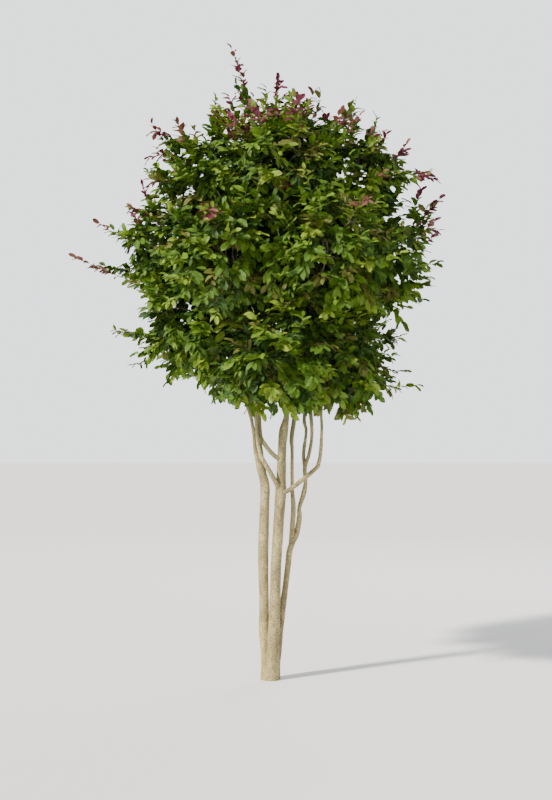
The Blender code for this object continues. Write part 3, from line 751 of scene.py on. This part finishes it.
@dataclass
class BarkLimbs:
    """The trunk, stems and boughs, as round limbs with the relief of their bark."""

    ring_spacing: float = 0.011
    sides: int = 24
    ridge: float = 0.0011
    ridges_per_metre: Triple = (70, 70, 14)
    grain: float = 0.0006
    grains_per_metre: float = 160
    lump: float = 0.0015
    lumps_per_metre: float = 9
    scars: tuple[Ball, ...] = (
        (0.092, -0.034, 1.404, 0.022), (0.070, -0.036, 0.93, 0.018), (-0.036, -0.022, 0.62, 0.016),
    )
    scar_height: float = 0.0035
    scar_rim: float = 8
    scar_dent: float = 1.6
    foot_height: float = 0.09
    foot_fall: float = 3
    foot_spread: float = 0.006

    def build(self, finish: bpy.types.Material) -> None:
        """Make every limb, and let it stand for its solids.

        Args:
            finish: The bark.
        """
        for name, limb in LIMBS.items():
            piece = self.limb(name)
            piece.data.materials.append(finish)
            nodes = [node for node in (name, name + "_low", name + "_high") if self.has_node(node)]
            if limb.parent is None:
                nodes.append("trunk")
            dress(piece, nodes, "bark")

    @staticmethod
    def has_node(node: str) -> bool:
        """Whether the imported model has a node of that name."""
        try:
            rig.box(node)
        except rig.FrameError:
            return False
        return True

    def limb(self, name: str) -> bpy.types.Object:
        """Make one limb.

        Args:
            name: The limb.

        Returns:
            Its object.
        """
        coarse = limb_path(name, 1)
        length = sum((b - a).xyz.length for a, b in zip(coarse, coarse[1:]))
        steps = max(2, round(length / self.ring_spacing / (len(coarse) - 1)))
        curve = bpy.data.curves.new(name, "CURVE")
        curve.dimensions = "3D"
        curve.use_fill_caps = True
        curve.twist_mode = "MINIMUM"
        curve.bevel_depth = 1
        curve.bevel_resolution = self.sides // 2 - 2
        spline = curve.splines.new("POLY")
        path = limb_path(name, steps)
        spline.points.add(len(path) - 1)
        for point, (x, y, z, radius) in zip(spline.points, path):
            point.co = (x, y, z, 1)
            point.radius = radius
        drawn = bpy.data.objects.new(name, curve)
        bpy.context.scene.collection.objects.link(drawn)
        bpy.context.view_layer.update()
        graph = bpy.context.evaluated_depsgraph_get()
        mesh = bpy.data.meshes.new_from_object(drawn.evaluated_get(graph))
        bpy.data.objects.remove(drawn)
        self.shape(mesh, LIMBS[name].parent is None)
        mesh.name = name + "_bark"
        mesh.shade_smooth()
        return link(name + "_bark", mesh)

    def shape(self, mesh: bpy.types.Mesh, rooted: bool) -> None:
        """Weld the caps, raise the bark's relief and cut a rooted limb flat at the ground.

        Args:
            mesh: The limb's mesh.
            rooted: Whether the limb comes out of the ground.
        """
        shape = bmesh.new()
        shape.from_mesh(mesh)
        bmesh.ops.remove_doubles(shape, verts=shape.verts, dist=WELD)
        bmesh.ops.recalc_face_normals(shape, faces=shape.faces)
        shape.normal_update()
        for corner in shape.verts:
            corner.co += corner.normal * self.relief(corner.co)
        if rooted:
            parts = [*shape.verts, *shape.edges, *shape.faces]
            cut = bmesh.ops.bisect_plane(shape, geom=parts, plane_co=(0, 0, GROUND_CUT),
                                         plane_no=(0, 0, -1), clear_outer=True)
            rim = [edge for edge in cut["geom_cut"] if isinstance(edge, bmesh.types.BMEdge)]
            bmesh.ops.contextual_create(shape, geom=rim)
            bmesh.ops.recalc_face_normals(shape, faces=shape.faces)
        shape.to_mesh(mesh)
        shape.free()

    def relief(self, place: Vector) -> float:
        """Work out how far the bark stands out.

        Args:
            place: A point of the limb's smooth surface.

        Returns:
            The height, which is negative in a crack.
        """
        lengthwise = Vector([a * b for a, b in zip(place, self.ridges_per_metre)])
        height = self.ridge * noise.noise(lengthwise)
        height += self.grain * noise.noise(place * self.grains_per_metre)
        height += self.lump * noise.noise(place * self.lumps_per_metre)
        above = max(place.z, 0) / self.foot_height
        height += self.foot_spread * math.exp(-above ** 2 * self.foot_fall)
        for x, y, z, size in self.scars:
            away = (place - Vector((x, y, z))).length / size
            rim = math.exp(-(away - 1) ** 2 * self.scar_rim)
            height += self.scar_height * (rim - math.exp(-(away * self.scar_dent) ** 2))
        return height


@dataclass
class Leaves:
    """The leaves of the whole crown, gathered by colour until each colour is joined."""

    length: float = 0.08
    width: float = 0.043
    thickness: float = 0.0009
    half_blade: float = 0.44
    tip_point: float = 0.12
    foot_point: float = 0.06
    point_power: int = 6
    broad_end: float = 0.16
    scallop: float = 0.06
    scallops: int = 6
    fold: float = 0.3
    wave: float = 0.09
    waves: int = 3
    wave_start: float = 0.6
    droop: float = 0.3
    most_in_piece: int = 8000
    gathered: dict[Tint, list[np.ndarray]] = field(default_factory=lambda: {tint: [] for tint in Tint})

    def template(self) -> tuple[np.ndarray, np.ndarray]:
        """Shape one leaf: a thin closed blade, folded at its midrib, with a wavy edge.

        Returns:
            Its corners in its own frame, of length 1, and its triangles.
        """
        shape = bmesh.new()
        bmesh.ops.create_uvsphere(shape, u_segments=12, v_segments=2, radius=1)
        ratio = self.width / self.length
        for corner in shape.verts:
            x, y, z = corner.co
            out = math.hypot(x, y)
            turn = math.atan2(y, x)
            along = 0.5 + self.half_blade * x + self.tip_point * max(x, 0) ** self.point_power
            along -= self.foot_point * max(-x, 0) ** self.point_power
            edge = 1 + self.broad_end * x + self.scallop * math.cos(self.scallops * turn)
            side = y * 0.5 * ratio * edge
            rise = z * self.thickness / self.length / 2
            ripple = math.sin(self.waves * turn + self.wave_start)
            rise += abs(side) * self.fold + self.wave * out**2 * ripple * 0.5
            rise -= self.droop * along**2
            corner.co = (along, side, rise)
        bmesh.ops.triangulate(shape, faces=shape.faces)
        bmesh.ops.recalc_face_normals(shape, faces=shape.faces)
        shape.verts.index_update()
        corners = np.array([tuple(corner.co) for corner in shape.verts])
        triangles = np.array([[corner.index for corner in face.verts] for face in shape.faces])
        shape.free()
        return corners, triangles

    def add(self, tint: Tint, base: Vector, along: Vector, facing: Vector, size: float) -> None:
        """Gather one leaf.

        Args:
            tint: Its colour.
            base: Where it is rooted.
            along: The direction of its midrib.
            facing: The direction that its upper side faces.
            size: Its size, where 1 is a full grown leaf.
        """
        across = facing.cross(along).normalized()
        upward = along.cross(across).normalized()
        rows = [along * size * self.length, across * size * self.length, upward * size * self.length, base]
        self.gathered[tint].append(np.array([tuple(row) for row in rows]))

    def build(self, mottle: Tree, nodes: list[str]) -> None:
        """Join the leaves of each colour, and let them stand for the masses' solids.

        Args:
            mottle: The shared group of patches and grain.
            nodes: The solids that the leaves stand for.
        """
        corners, triangles = self.template()
        for tint, placed in self.gathered.items():
            finish = LEAF_FINISHES[tint].make(mottle)
            for first in range(0, len(placed), self.most_in_piece):
                frames = np.array(placed[first:first + self.most_in_piece])
                rows = np.einsum("vk,nkc->nvc", corners, frames[:, :3]) + frames[:, 3][:, None]
                starts = np.arange(len(frames))[:, None, None] * len(corners)
                name = f"leaves_{tint.value}_{first // self.most_in_piece + 1}"
                faces = (triangles[None] + starts).reshape(-1, 3)
                mesh = mesh_of_triangles(name, rows.reshape(-1, 3), faces)
                mesh.shade_flat()
                mesh.materials.append(finish)
                dress(link(name, mesh), nodes, "foliage")


@dataclass
class Twigs:
    """All the twigs of the crown, gathered as thin tubes until they are joined."""

    sides: int = 4
    corners: list[np.ndarray] = field(default_factory=list)
    triangles: list[np.ndarray] = field(default_factory=list)
    count: int = 0

    def add(self, path: list[Vector], first: float, last: float) -> None:
        """Gather one twig.

        Args:
            path: The points along it.
            first: Its radius at the root.
            last: Its radius at the tip.
        """
        line = np.array([tuple(point) for point in path])
        ways = np.gradient(line, axis=0)
        ways /= np.linalg.norm(ways, axis=1)[:, None]
        guide = np.array([0.0, 0.0, 1.0]) if abs(ways[0][2]) < 0.8 else np.array([1.0, 0.0, 0.0])
        across = np.cross(ways, guide)
        across /= np.linalg.norm(across, axis=1)[:, None]
        other = np.cross(ways, across)
        turns = (math.tau * np.arange(self.sides) / self.sides)[None, :, None]
        radii = np.linspace(first, last, len(line))[:, None, None]
        round_it = np.cos(turns) * across[:, None] + np.sin(turns) * other[:, None]
        rings = line[:, None] + radii * round_it
        faces = []
        for ring in range(len(line) - 1):
            for side in range(self.sides):
                a = ring * self.sides + side
                b = ring * self.sides + (side + 1) % self.sides
                faces += [(a, b, b + self.sides), (a, b + self.sides, a + self.sides)]
        end = (len(line) - 1) * self.sides
        for side in range(1, self.sides - 1):
            faces += [(0, side + 1, side), (end, end + side, end + side + 1)]
        self.corners.append(rings.reshape(-1, 3))
        self.triangles.append(np.array(faces) + self.count)
        self.count += len(line) * self.sides

    def build(self, finish: bpy.types.Material, nodes: list[str]) -> None:
        """Join the twigs, and let them stand for the masses' solids.

        Args:
            finish: The bark of young wood.
            nodes: The solids that the twigs stand for.
        """
        mesh = mesh_of_triangles("twigs", np.concatenate(self.corners), np.concatenate(self.triangles))
        mesh.materials.append(finish)
        mesh.shade_smooth()
        dress(link("twigs", mesh), nodes, "bark")


class Joint(NamedTuple):
    """A place on a twig that another can spring from."""

    place: Vector
    along: Vector
    radius: float


@dataclass
class FoliageMass:
    """One mass: the solids' stem and twigs, then finer twigs, and leafy sprays on those."""

    name: str
    seed: int
    limbs: BVHTree
    twigs: Twigs
    leaves: Leaves
    box: tuple[Vector, Vector]
    fine_tips: int = 62
    fine_reach: Span = (0.5, 1.06)
    least_radius: float = 0.0022
    spray_length: Span = (0.09, 0.17)
    leaf_spacing: float = 0.02
    leaf_reach: float = 1.28
    leaf_angle: float = math.radians(48)
    leaf_roll: float = 0.35
    leaf_scatter: float = 0.22
    leaf_growth: Span = (0.72, 1.12)
    end_leaf: float = 0.8
    least_leaves: int = 3
    light_outward: float = 0.4
    light_from: Triple = (-0.1, -0.15, 0.8)
    light_scatter: float = 0.34
    limb_room: float = 0.008
    spray_places: tuple[float, ...] = (1.0, 0.8, 0.55, 0.3)
    spray_from: float = 0.75
    spray_scatter: float = 0.45
    spray_outward: float = 0.6
    spray_sag: float = 0.08
    spray_radii: Span = (0.0015, 0.0007)
    draw_in: float = 0.7
    draws: int = 3
    spray_steps: int = 3
    fringe_length: Span = (0.11, 0.24)
    fringe_reach: float = 1.0
    fringe_scatter: float = 0.45
    fringe_rise: float = 0.3
    fringe_lift: float = 0.1
    fringe_steps: int = 5
    fringe_turn: int = 3
    fringe_sprays: int = 2
    fringe_radii: Span = (0.0017, 0.0007)
    fringe_leaves: Span = (0.95, 0.8)
    young_from: float = 2.85
    top_from: float = 3.4
    side_from: float = 0.7
    young_chance: float = 0.7
    box_room: float = 0.01
    fringe_room: float = -0.03
    rose_reach: float = 0.07
    shoot_spacing: float = 0.026
    shoot_leaves: tuple[Triple, ...] = ((0, 4, 1.05), (3, 7, 1.0), (6, 9, 0.85))
    shoot_end: float = 0.62
    shoot_radii: Span = (0.003, 0.0011)
    young_beyond: float = -1.0
    spur_places: tuple[int, ...] = (2, 4, 5)
    spur_scatter: float = 0.6
    spur_length: Span = (0.05, 0.09)
    spur_radii: Span = (0.0013, 0.0007)
    spur_leaves: float = 0.85
    fine_steps: int = 4
    fine_least: float = 0.3

    def __post_init__(self) -> None:
        """Find the mass's middle and start its seeded draws."""
        self.mass = MASSES[self.name]
        self.heart = Vector(self.mass.centre)
        self.random = random.Random(self.seed)
        self.joints: list[Joint] = []

    def inside(self, place: Vector, room: float) -> bool:
        """Whether a place is in the solids' box, made larger by some room on each side."""
        low, high = self.box
        return all(a - room < b < c + room for a, b, c in zip(low, place, high))

    def fits(self, place: Vector, most: float) -> bool:
        """Whether a place is in the mass's own space, in the solids' box and clear of the limbs."""
        if reach(place, self.mass) > most or not in_cell(place, self.name):
            return False
        if not self.inside(place, self.box_room):
            return False
        return self.limbs.find_nearest(place, self.limb_room)[0] is None

    def keep(self, path: list[Vector], first: float, last: float) -> None:
        """Gather a twig, and note the places that another can spring from."""
        self.twigs.add(path, first, last)
        for number, (before, place) in enumerate(zip(path, path[1:])):
            radius = first + (last - first) * (number + 1) / (len(path) - 1)
            self.joints.append(Joint(place, (place - before).normalized(), radius))

    def grow_stem(self) -> None:
        """The stem, from just above the limb's tip to the middle of the mass."""
        *_, before, tip = limb_path(self.mass.limb, 2)
        along = (tip - before).xyz.normalized()
        foot = tip.xyz + along * GAP
        start = foot + along * STEM_START
        middle = start + along * (self.heart - start).length * TWIG_BOW
        self.keep([foot, *bezier(start, middle, self.heart, 2 * STEM_STEPS)], tip.w, tip.w * STEM_TAPER)

    def outward(self, way: Vector, far: float) -> Vector:
        """The place that lies a share of the space's size out from its middle."""
        return self.heart + Vector([a * b * far for a, b in zip(way, self.mass.radii)])

    def spread(self, count: int) -> list[Vector]:
        """Directions spread evenly round the mass.

        Args:
            count: How many.

        Returns:
            Unit vectors.
        """
        golden = math.pi * (3 - math.sqrt(5))
        turn = self.random.uniform(0, math.tau)
        ways = []
        for number in range(count):
            height = 1 - (2 * number + 1) / count
            flat = math.sqrt(1 - height**2)
            angle = turn + golden * number
            ways.append(Vector((flat * math.cos(angle), flat * math.sin(angle), height)))
        return ways

    def main_tips(self) -> list[Vector]:
        """The places that the solids' twigs reach for, inner ones first."""
        found = []
        for way in self.spread(TWIG_TIPS):
            far = TWIG_REACH
            while far > TWIG_LEAST_REACH and not in_cell(self.outward(way, far + TIP_ROOM), self.name):
                far -= TWIG_REACH_STEP
            if far > TWIG_LEAST_REACH:
                scatter = Vector([self.random.uniform(-TIP_SCATTER, TIP_SCATTER) for _ in range(3)])
                found.append(self.outward(way, far) + scatter)
        return sorted(found, key=lambda place: (place - self.heart).length)

    def best_joint(self, tip: Vector) -> Joint:
        """The joint that needs the least length and turn to reach a tip."""
        def cost(joint: Joint) -> float:
            """The length of the way, made longer by its turn."""
            way = tip - joint.place
            turn = 1 - way.normalized().dot(joint.along)
            return way.length * (1 + TWIG_TURN_COST * turn)
        return min(self.joints, key=cost)

    def grow_twig(self, tip: Vector, steps: int, least: float) -> list[Vector]:
        """A twig that leaves the best joint along the twig there, and bends up to its tip.

        Args:
            tip: Where it ends.
            steps: Its number of spans.
            least: The least radius at its root.

        Returns:
            Its points, or none where it would not fit.
        """
        joint = self.best_joint(tip)
        length = (tip - joint.place).length
        middle = joint.place + joint.along * length * TWIG_BOW + Vector((0, 0, length * TWIG_RISE))
        path = bezier(joint.place, middle, tip, steps)
        if not all(self.fits(place, self.leaf_reach) for place in path[1:]):
            return []
        root = max(joint.radius * TWIG_SHARE, least)
        self.keep(path, root, root * TWIG_TAPER)
        return path

    def scatter(self, spread: float) -> Vector:
        """Draw a random turn."""
        return Vector([self.random.gauss(0, spread) for _ in range(3)])

    def pick(self, weights: dict[Tint, int]) -> Tint:
        """Draw a colour by its weight."""
        return self.random.choices(list(weights), list(weights.values()))[0]

    def leafy(self, path: list[Vector], tint: Tint, bounded: bool, size: float,
              spacing: float | None = None) -> None:
        """Set leaves along a spray in two ranks, with one at its end.

        Args:
            path: The spray's points.
            tint: The colour of its leaves.
            bounded: Whether the leaves keep to the mass's space.
            size: The leaves' size, where 1 is full grown.
            spacing: The way from one leaf to the next, where it isn't the usual one.
        """
        length = sum((b - a).length for a, b in zip(path, path[1:]))
        count = max(self.least_leaves, round(length / (spacing or self.leaf_spacing)))
        roll = self.random.uniform(0, math.tau)
        for number in range(count):
            share = 1 - number / count
            place = share * (len(path) - 1)
            span = min(int(place), len(path) - 2)
            base = path[span].lerp(path[span + 1], place - span)
            along = (path[span + 1] - path[span]).normalized()
            across = along.cross(Vector((0, 0, 1))).normalized()
            across = Matrix.Rotation(self.leaf_roll * math.sin(roll + number), 3, along) @ across
            if number:
                side = across if number % 2 else -across
                way = along * math.cos(self.leaf_angle) + side * math.sin(self.leaf_angle)
            else:
                way = along
            way = (way + self.scatter(self.leaf_scatter)).normalized()
            outward = (base - self.heart).normalized()
            light = outward * self.light_outward + Vector(self.light_from)
            light += self.scatter(self.light_scatter)
            grown = size * self.random.uniform(*self.leaf_growth) * (1 if number else self.end_leaf)
            middle = base + way * grown * self.leaves.length * 0.5
            if bounded and not self.fits(middle, self.leaf_reach):
                continue
            facing = (light - way * light.dot(way)).normalized()
            self.leaves.add(tint, base, way, facing, grown)

    def grow_sprays(self, twig: list[Vector]) -> None:
        """Leafy sprays from a fine twig: one carries it on, and others leave its sides.

        Args:
            twig: The fine twig's points.
        """
        # Sprays deep in the mass take the darker greens of painted shade, and sprays near its edge the lighter greens
        # of painted light
        outer = reach(twig[-1], self.mass) > self.spray_from
        tints = OUTER_PAINTED_LIGHT_TINTS if outer else INNER_PAINTED_SHADE_TINTS
        rosy = min((place - twig[-1]).length for place in ROSE_PLACES) < self.rose_reach
        self.leafy(twig[len(twig) // 2:], self.pick(tints), True, 1)
        for number, share in enumerate(self.spray_places):
            span = max(1, round(share * (len(twig) - 1)))
            root = twig[span]
            along = (twig[span] - twig[span - 1]).normalized()
            outward = (root - self.heart).normalized()
            scatter = self.scatter(self.spray_scatter)
            length = self.random.uniform(*self.spray_length)
            if outer and number < self.fringe_sprays and self.grow_fringe(root, outward, scatter):
                continue
            tip = root + (along + outward * self.spray_outward + scatter).normalized() * length
            for _ in range(self.draws):
                if self.fits(tip, self.leaf_reach):
                    break
                tip = root.lerp(tip, self.draw_in)
            sag = Vector((0, 0, -self.spray_sag * (tip - root).length))
            path = bezier(root, root.lerp(tip, 0.5) - sag, tip + sag, self.spray_steps)
            self.twigs.add(path, *self.spray_radii)
            self.leafy(path, Tint.ROSE if rosy and number == 0 else self.pick(tints), True, 1)

    def grow_fringe(self, root: Vector, outward: Vector, scatter: Vector) -> bool:
        """A spray that stands out of the crown's edge, where nothing else grows.

        Args:
            root: Where it springs from.
            outward: The way out of the mass.
            scatter: A random turn.

        Returns:
            Whether it was grown.
        """
        way = (outward + scatter * self.fringe_scatter + Vector((0, 0, self.fringe_rise))).normalized()
        tip = root + way * self.random.uniform(*self.fringe_length)
        if tip.z < CROWN_FOOT or not self.inside(tip, self.fringe_room):
            return False
        if any(reach(tip, mass) < self.fringe_reach for mass in MASSES.values()):
            return False
        lift = Vector((0, 0, self.fringe_lift * (tip - root).length))
        path = bezier(root, root.lerp(tip, 0.5) - lift, tip + lift * 0.5, self.fringe_steps)
        self.twigs.add(path, *self.fringe_radii)
        edge = tip.z > self.top_from or tip.z > self.young_from and abs(tip.x) > self.side_from
        young = edge and self.random.random() < self.young_chance
        old_size, young_size = self.fringe_leaves
        # The fringe's older leaves take the lighter greens of painted light at the crown's edge
        self.leafy(path[:self.fringe_turn + 1], self.pick(OUTER_PAINTED_LIGHT_TINTS), False, old_size)
        tips = TIP_TINTS if young else OUTER_PAINTED_LIGHT_TINTS
        self.leafy(path[self.fringe_turn:], self.pick(tips), False, young_size)
        return True

    def grow_shoot(self, shoot: Shoot) -> None:
        """A long shoot that stands out of the crown, in leaf to its young tip.

        Args:
            shoot: Its root, tip and arch.
        """
        root = Vector(shoot.root)
        way = Vector(shoot.tip) - root
        tip = Vector(shoot.tip) - way.normalized() * self.leaves.length * self.shoot_end
        joint = self.best_joint(root)
        middle = root.lerp(tip, 0.5) + Vector((0, 0, 2 * shoot.arch))
        path = bezier(root, middle, tip, 4 * SHOOT_STEPS)
        thick, thin = self.shoot_radii
        self.keep([joint.place, *path], max(joint.radius * TWIG_SHARE, thick), thin)
        # Shoot leaves that aren't young tips take the lighter greens of painted light at the crown's edge
        tips = TIP_TINTS if tip.z > self.young_from or tip.x < self.young_beyond else OUTER_PAINTED_LIGHT_TINTS
        for first, last, size in self.shoot_leaves:
            tint = self.pick(tips if first else OUTER_PAINTED_LIGHT_TINTS)
            self.leafy(path[first:last], tint, False, size, self.shoot_spacing)
        for place in self.spur_places:
            root = path[place]
            side = self.scatter(self.spur_scatter)
            along = (path[place + 1] - root).normalized()
            spur = (along + side).normalized() * self.random.uniform(*self.spur_length)
            twig = bezier(root, root + spur * 0.5, root + spur, 2)
            self.twigs.add(twig, *self.spur_radii)
            self.leafy(twig, self.pick(tips), False, self.spur_leaves)

    def grow(self) -> None:
        """Grow the whole mass."""
        self.grow_stem()
        for tip in self.main_tips():
            self.grow_twig(tip, 2 * TWIG_STEPS, self.least_radius)
        for shoot in SHOOTS.get(self.name, ()):
            self.grow_shoot(shoot)
        for way in self.spread(self.fine_tips):
            far = self.random.uniform(*self.fine_reach)
            while far > self.fine_least and not in_cell(self.outward(way, far), self.name):
                far -= TWIG_REACH_STEP
            twig = self.grow_twig(self.outward(way, far), self.fine_steps, self.least_radius)
            if twig:
                self.grow_sprays(twig)


@dataclass
class Studio:
    """The floor, the lights and the camera."""

    floor_half: float = 60.0
    floor_colour: Triple = (0.92, 0.92, 0.92)
    floor_roughness: float = 0.9
    eye: Triple = (0.046, -8.0, 1.6)
    tilt: float = math.radians(1.6)
    lens: float = 54.86
    view_end: float = 200.0
    aim: Triple = (0.0, 0.0, 2.2)
    sun_from: Triple = (-8.0, -5.5, 7.5)
    sun_strength: float = 7.0
    sun_angle: float = math.radians(5)
    sun_colour: Triple = (1.0, 0.95, 0.86)
    sky_colour: Triple = (0.95, 0.97, 1.0)
    sky_light: float = 0.7
    sky_seen: float = 2.1

    def build(self) -> None:
        """Set the stage."""
        shape = bmesh.new()
        bmesh.ops.create_grid(shape, x_segments=1, y_segments=1, size=self.floor_half)
        mesh = bpy.data.meshes.new("floor")
        shape.to_mesh(mesh)
        shape.free()
        floor = link("floor", mesh)
        paint = bpy.data.materials.new("floor")
        paint.use_nodes = True
        shader = paint.node_tree.nodes["Principled BSDF"]
        shader.inputs["Base Color"].default_value = (*self.floor_colour, 1)
        shader.inputs["Roughness"].default_value = self.floor_roughness
        mesh.materials.append(paint)
        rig.stage(floor)
        self.sun()
        self.lamp("fill", Vector((5.5, -7.0, 3.0)), 5.0, 40, (0.92, 0.96, 1.0))
        self.lamp("back", Vector((3.0, 7.0, 7.0)), 4.0, 260, (1.0, 0.98, 0.94))
        self.sky()
        self.camera()

    @staticmethod
    def stand(name: str, data: bpy.types.ID, place: Vector, way: Vector) -> bpy.types.Object:
        """Stand a lamp or a camera in the scene.

        Args:
            name: Its name.
            data: The lamp or the camera.
            place: Where it stands.
            way: The direction that it faces.

        Returns:
            Its object.
        """
        stand = bpy.data.objects.new(name, data)
        stand.location = place
        stand.rotation_euler = way.to_track_quat("-Z", "Y").to_euler()
        bpy.context.scene.collection.objects.link(stand)
        return stand

    def lamp(self, name: str, place: Vector, size: float, power: float,
             colour: Triple) -> None:
        """Add a soft lamp that faces the crown.

        Args:
            name: The lamp's name.
            place: Where it stands.
            size: The side of its square face.
            power: Its power in watts.
            colour: Its colour.
        """
        lamp = bpy.data.lights.new(name, "AREA")
        lamp.size = size
        lamp.energy = power
        lamp.color = colour
        self.stand(name, lamp, place, Vector(self.aim) - place)

    def sun(self) -> None:
        """The main light, from the upper left and the front."""
        lamp = bpy.data.lights.new("key", "SUN")
        lamp.energy = self.sun_strength
        lamp.angle = self.sun_angle
        lamp.color = self.sun_colour
        place = Vector(self.sun_from)
        self.stand("key", lamp, place, -place)

    def sky(self) -> None:
        """A plain pale surround."""
        world = bpy.data.worlds.new("surround")
        world.use_nodes = True
        back = world.node_tree.nodes["Background"]
        back.inputs["Color"].default_value = (*self.sky_colour, 1)
        bench = NodeBench(world.node_tree)
        rays = bench.add("ShaderNodeLightPath")
        strength = bench.add("ShaderNodeMapRange", To_Min=self.sky_light, To_Max=self.sky_seen)
        bench.wire(rays.outputs["Is Camera Ray"], strength.inputs["Value"])
        bench.wire(strength.outputs["Result"], back.inputs["Strength"])
        bpy.context.scene.world = world

    def camera(self) -> None:
        """The camera, at the height of a standing person's eye."""
        data = bpy.data.cameras.new("camera")
        data.lens = self.lens
        data.clip_end = self.view_end
        eye = bpy.data.objects.new("camera", data)
        eye.location = self.eye
        eye.rotation_euler = (math.pi / 2 + self.tilt, 0, 0)
        bpy.context.scene.collection.objects.link(eye)
        bpy.context.scene.camera = eye


# How fine the limbs are that twigs and leaves are kept clear of
TEST_SIDES = 6
TEST_STEPS = 3


def limb_surfaces() -> BVHTree:
    """The limbs as thin tubes to test against."""
    tubes = Twigs(sides=TEST_SIDES)
    for name in LIMBS:
        path = limb_path(name, TEST_STEPS)
        for before, after in zip(path, path[1:]):
            tubes.add([before.xyz, after.xyz], before.w, after.w)
    corners = [tuple(row) for row in np.concatenate(tubes.corners)]
    faces = [tuple(int(number) for number in row) for row in np.concatenate(tubes.triangles)]
    return BVHTree.FromPolygons(corners, faces)


def main() -> None:
    """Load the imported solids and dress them."""
    logging.basicConfig(level=logging.INFO, format="%(message)s")
    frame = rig.load()
    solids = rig.bounds()
    mottle = mottle_group()
    bark = BarkFinish().make(mottle)
    young = YOUNG_BARK.make(mottle)
    BarkLimbs().build(bark)
    limbs = limb_surfaces()
    twigs = Twigs()
    leaves = Leaves()
    box = (Vector(solids[0]), Vector(solids[1]))
    for seed, name in enumerate(MASSES):
        FoliageMass(name, seed, limbs, twigs, leaves, box).grow()
    masses = sorted(node for node in frame["nodes"] if node.startswith(FOLIAGE))
    twigs.build(young, masses)
    leaves.build(mottle, masses)
    Studio().build()
    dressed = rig.bounds()
    boxes = {"solids": [list(corner) for corner in solids], "dressed": [list(corner) for corner in dressed]}
    with open(SIZE_FILE, "w", encoding="utf-8") as out:
        json.dump(boxes, out)


if __name__ == "__main__":
    main()
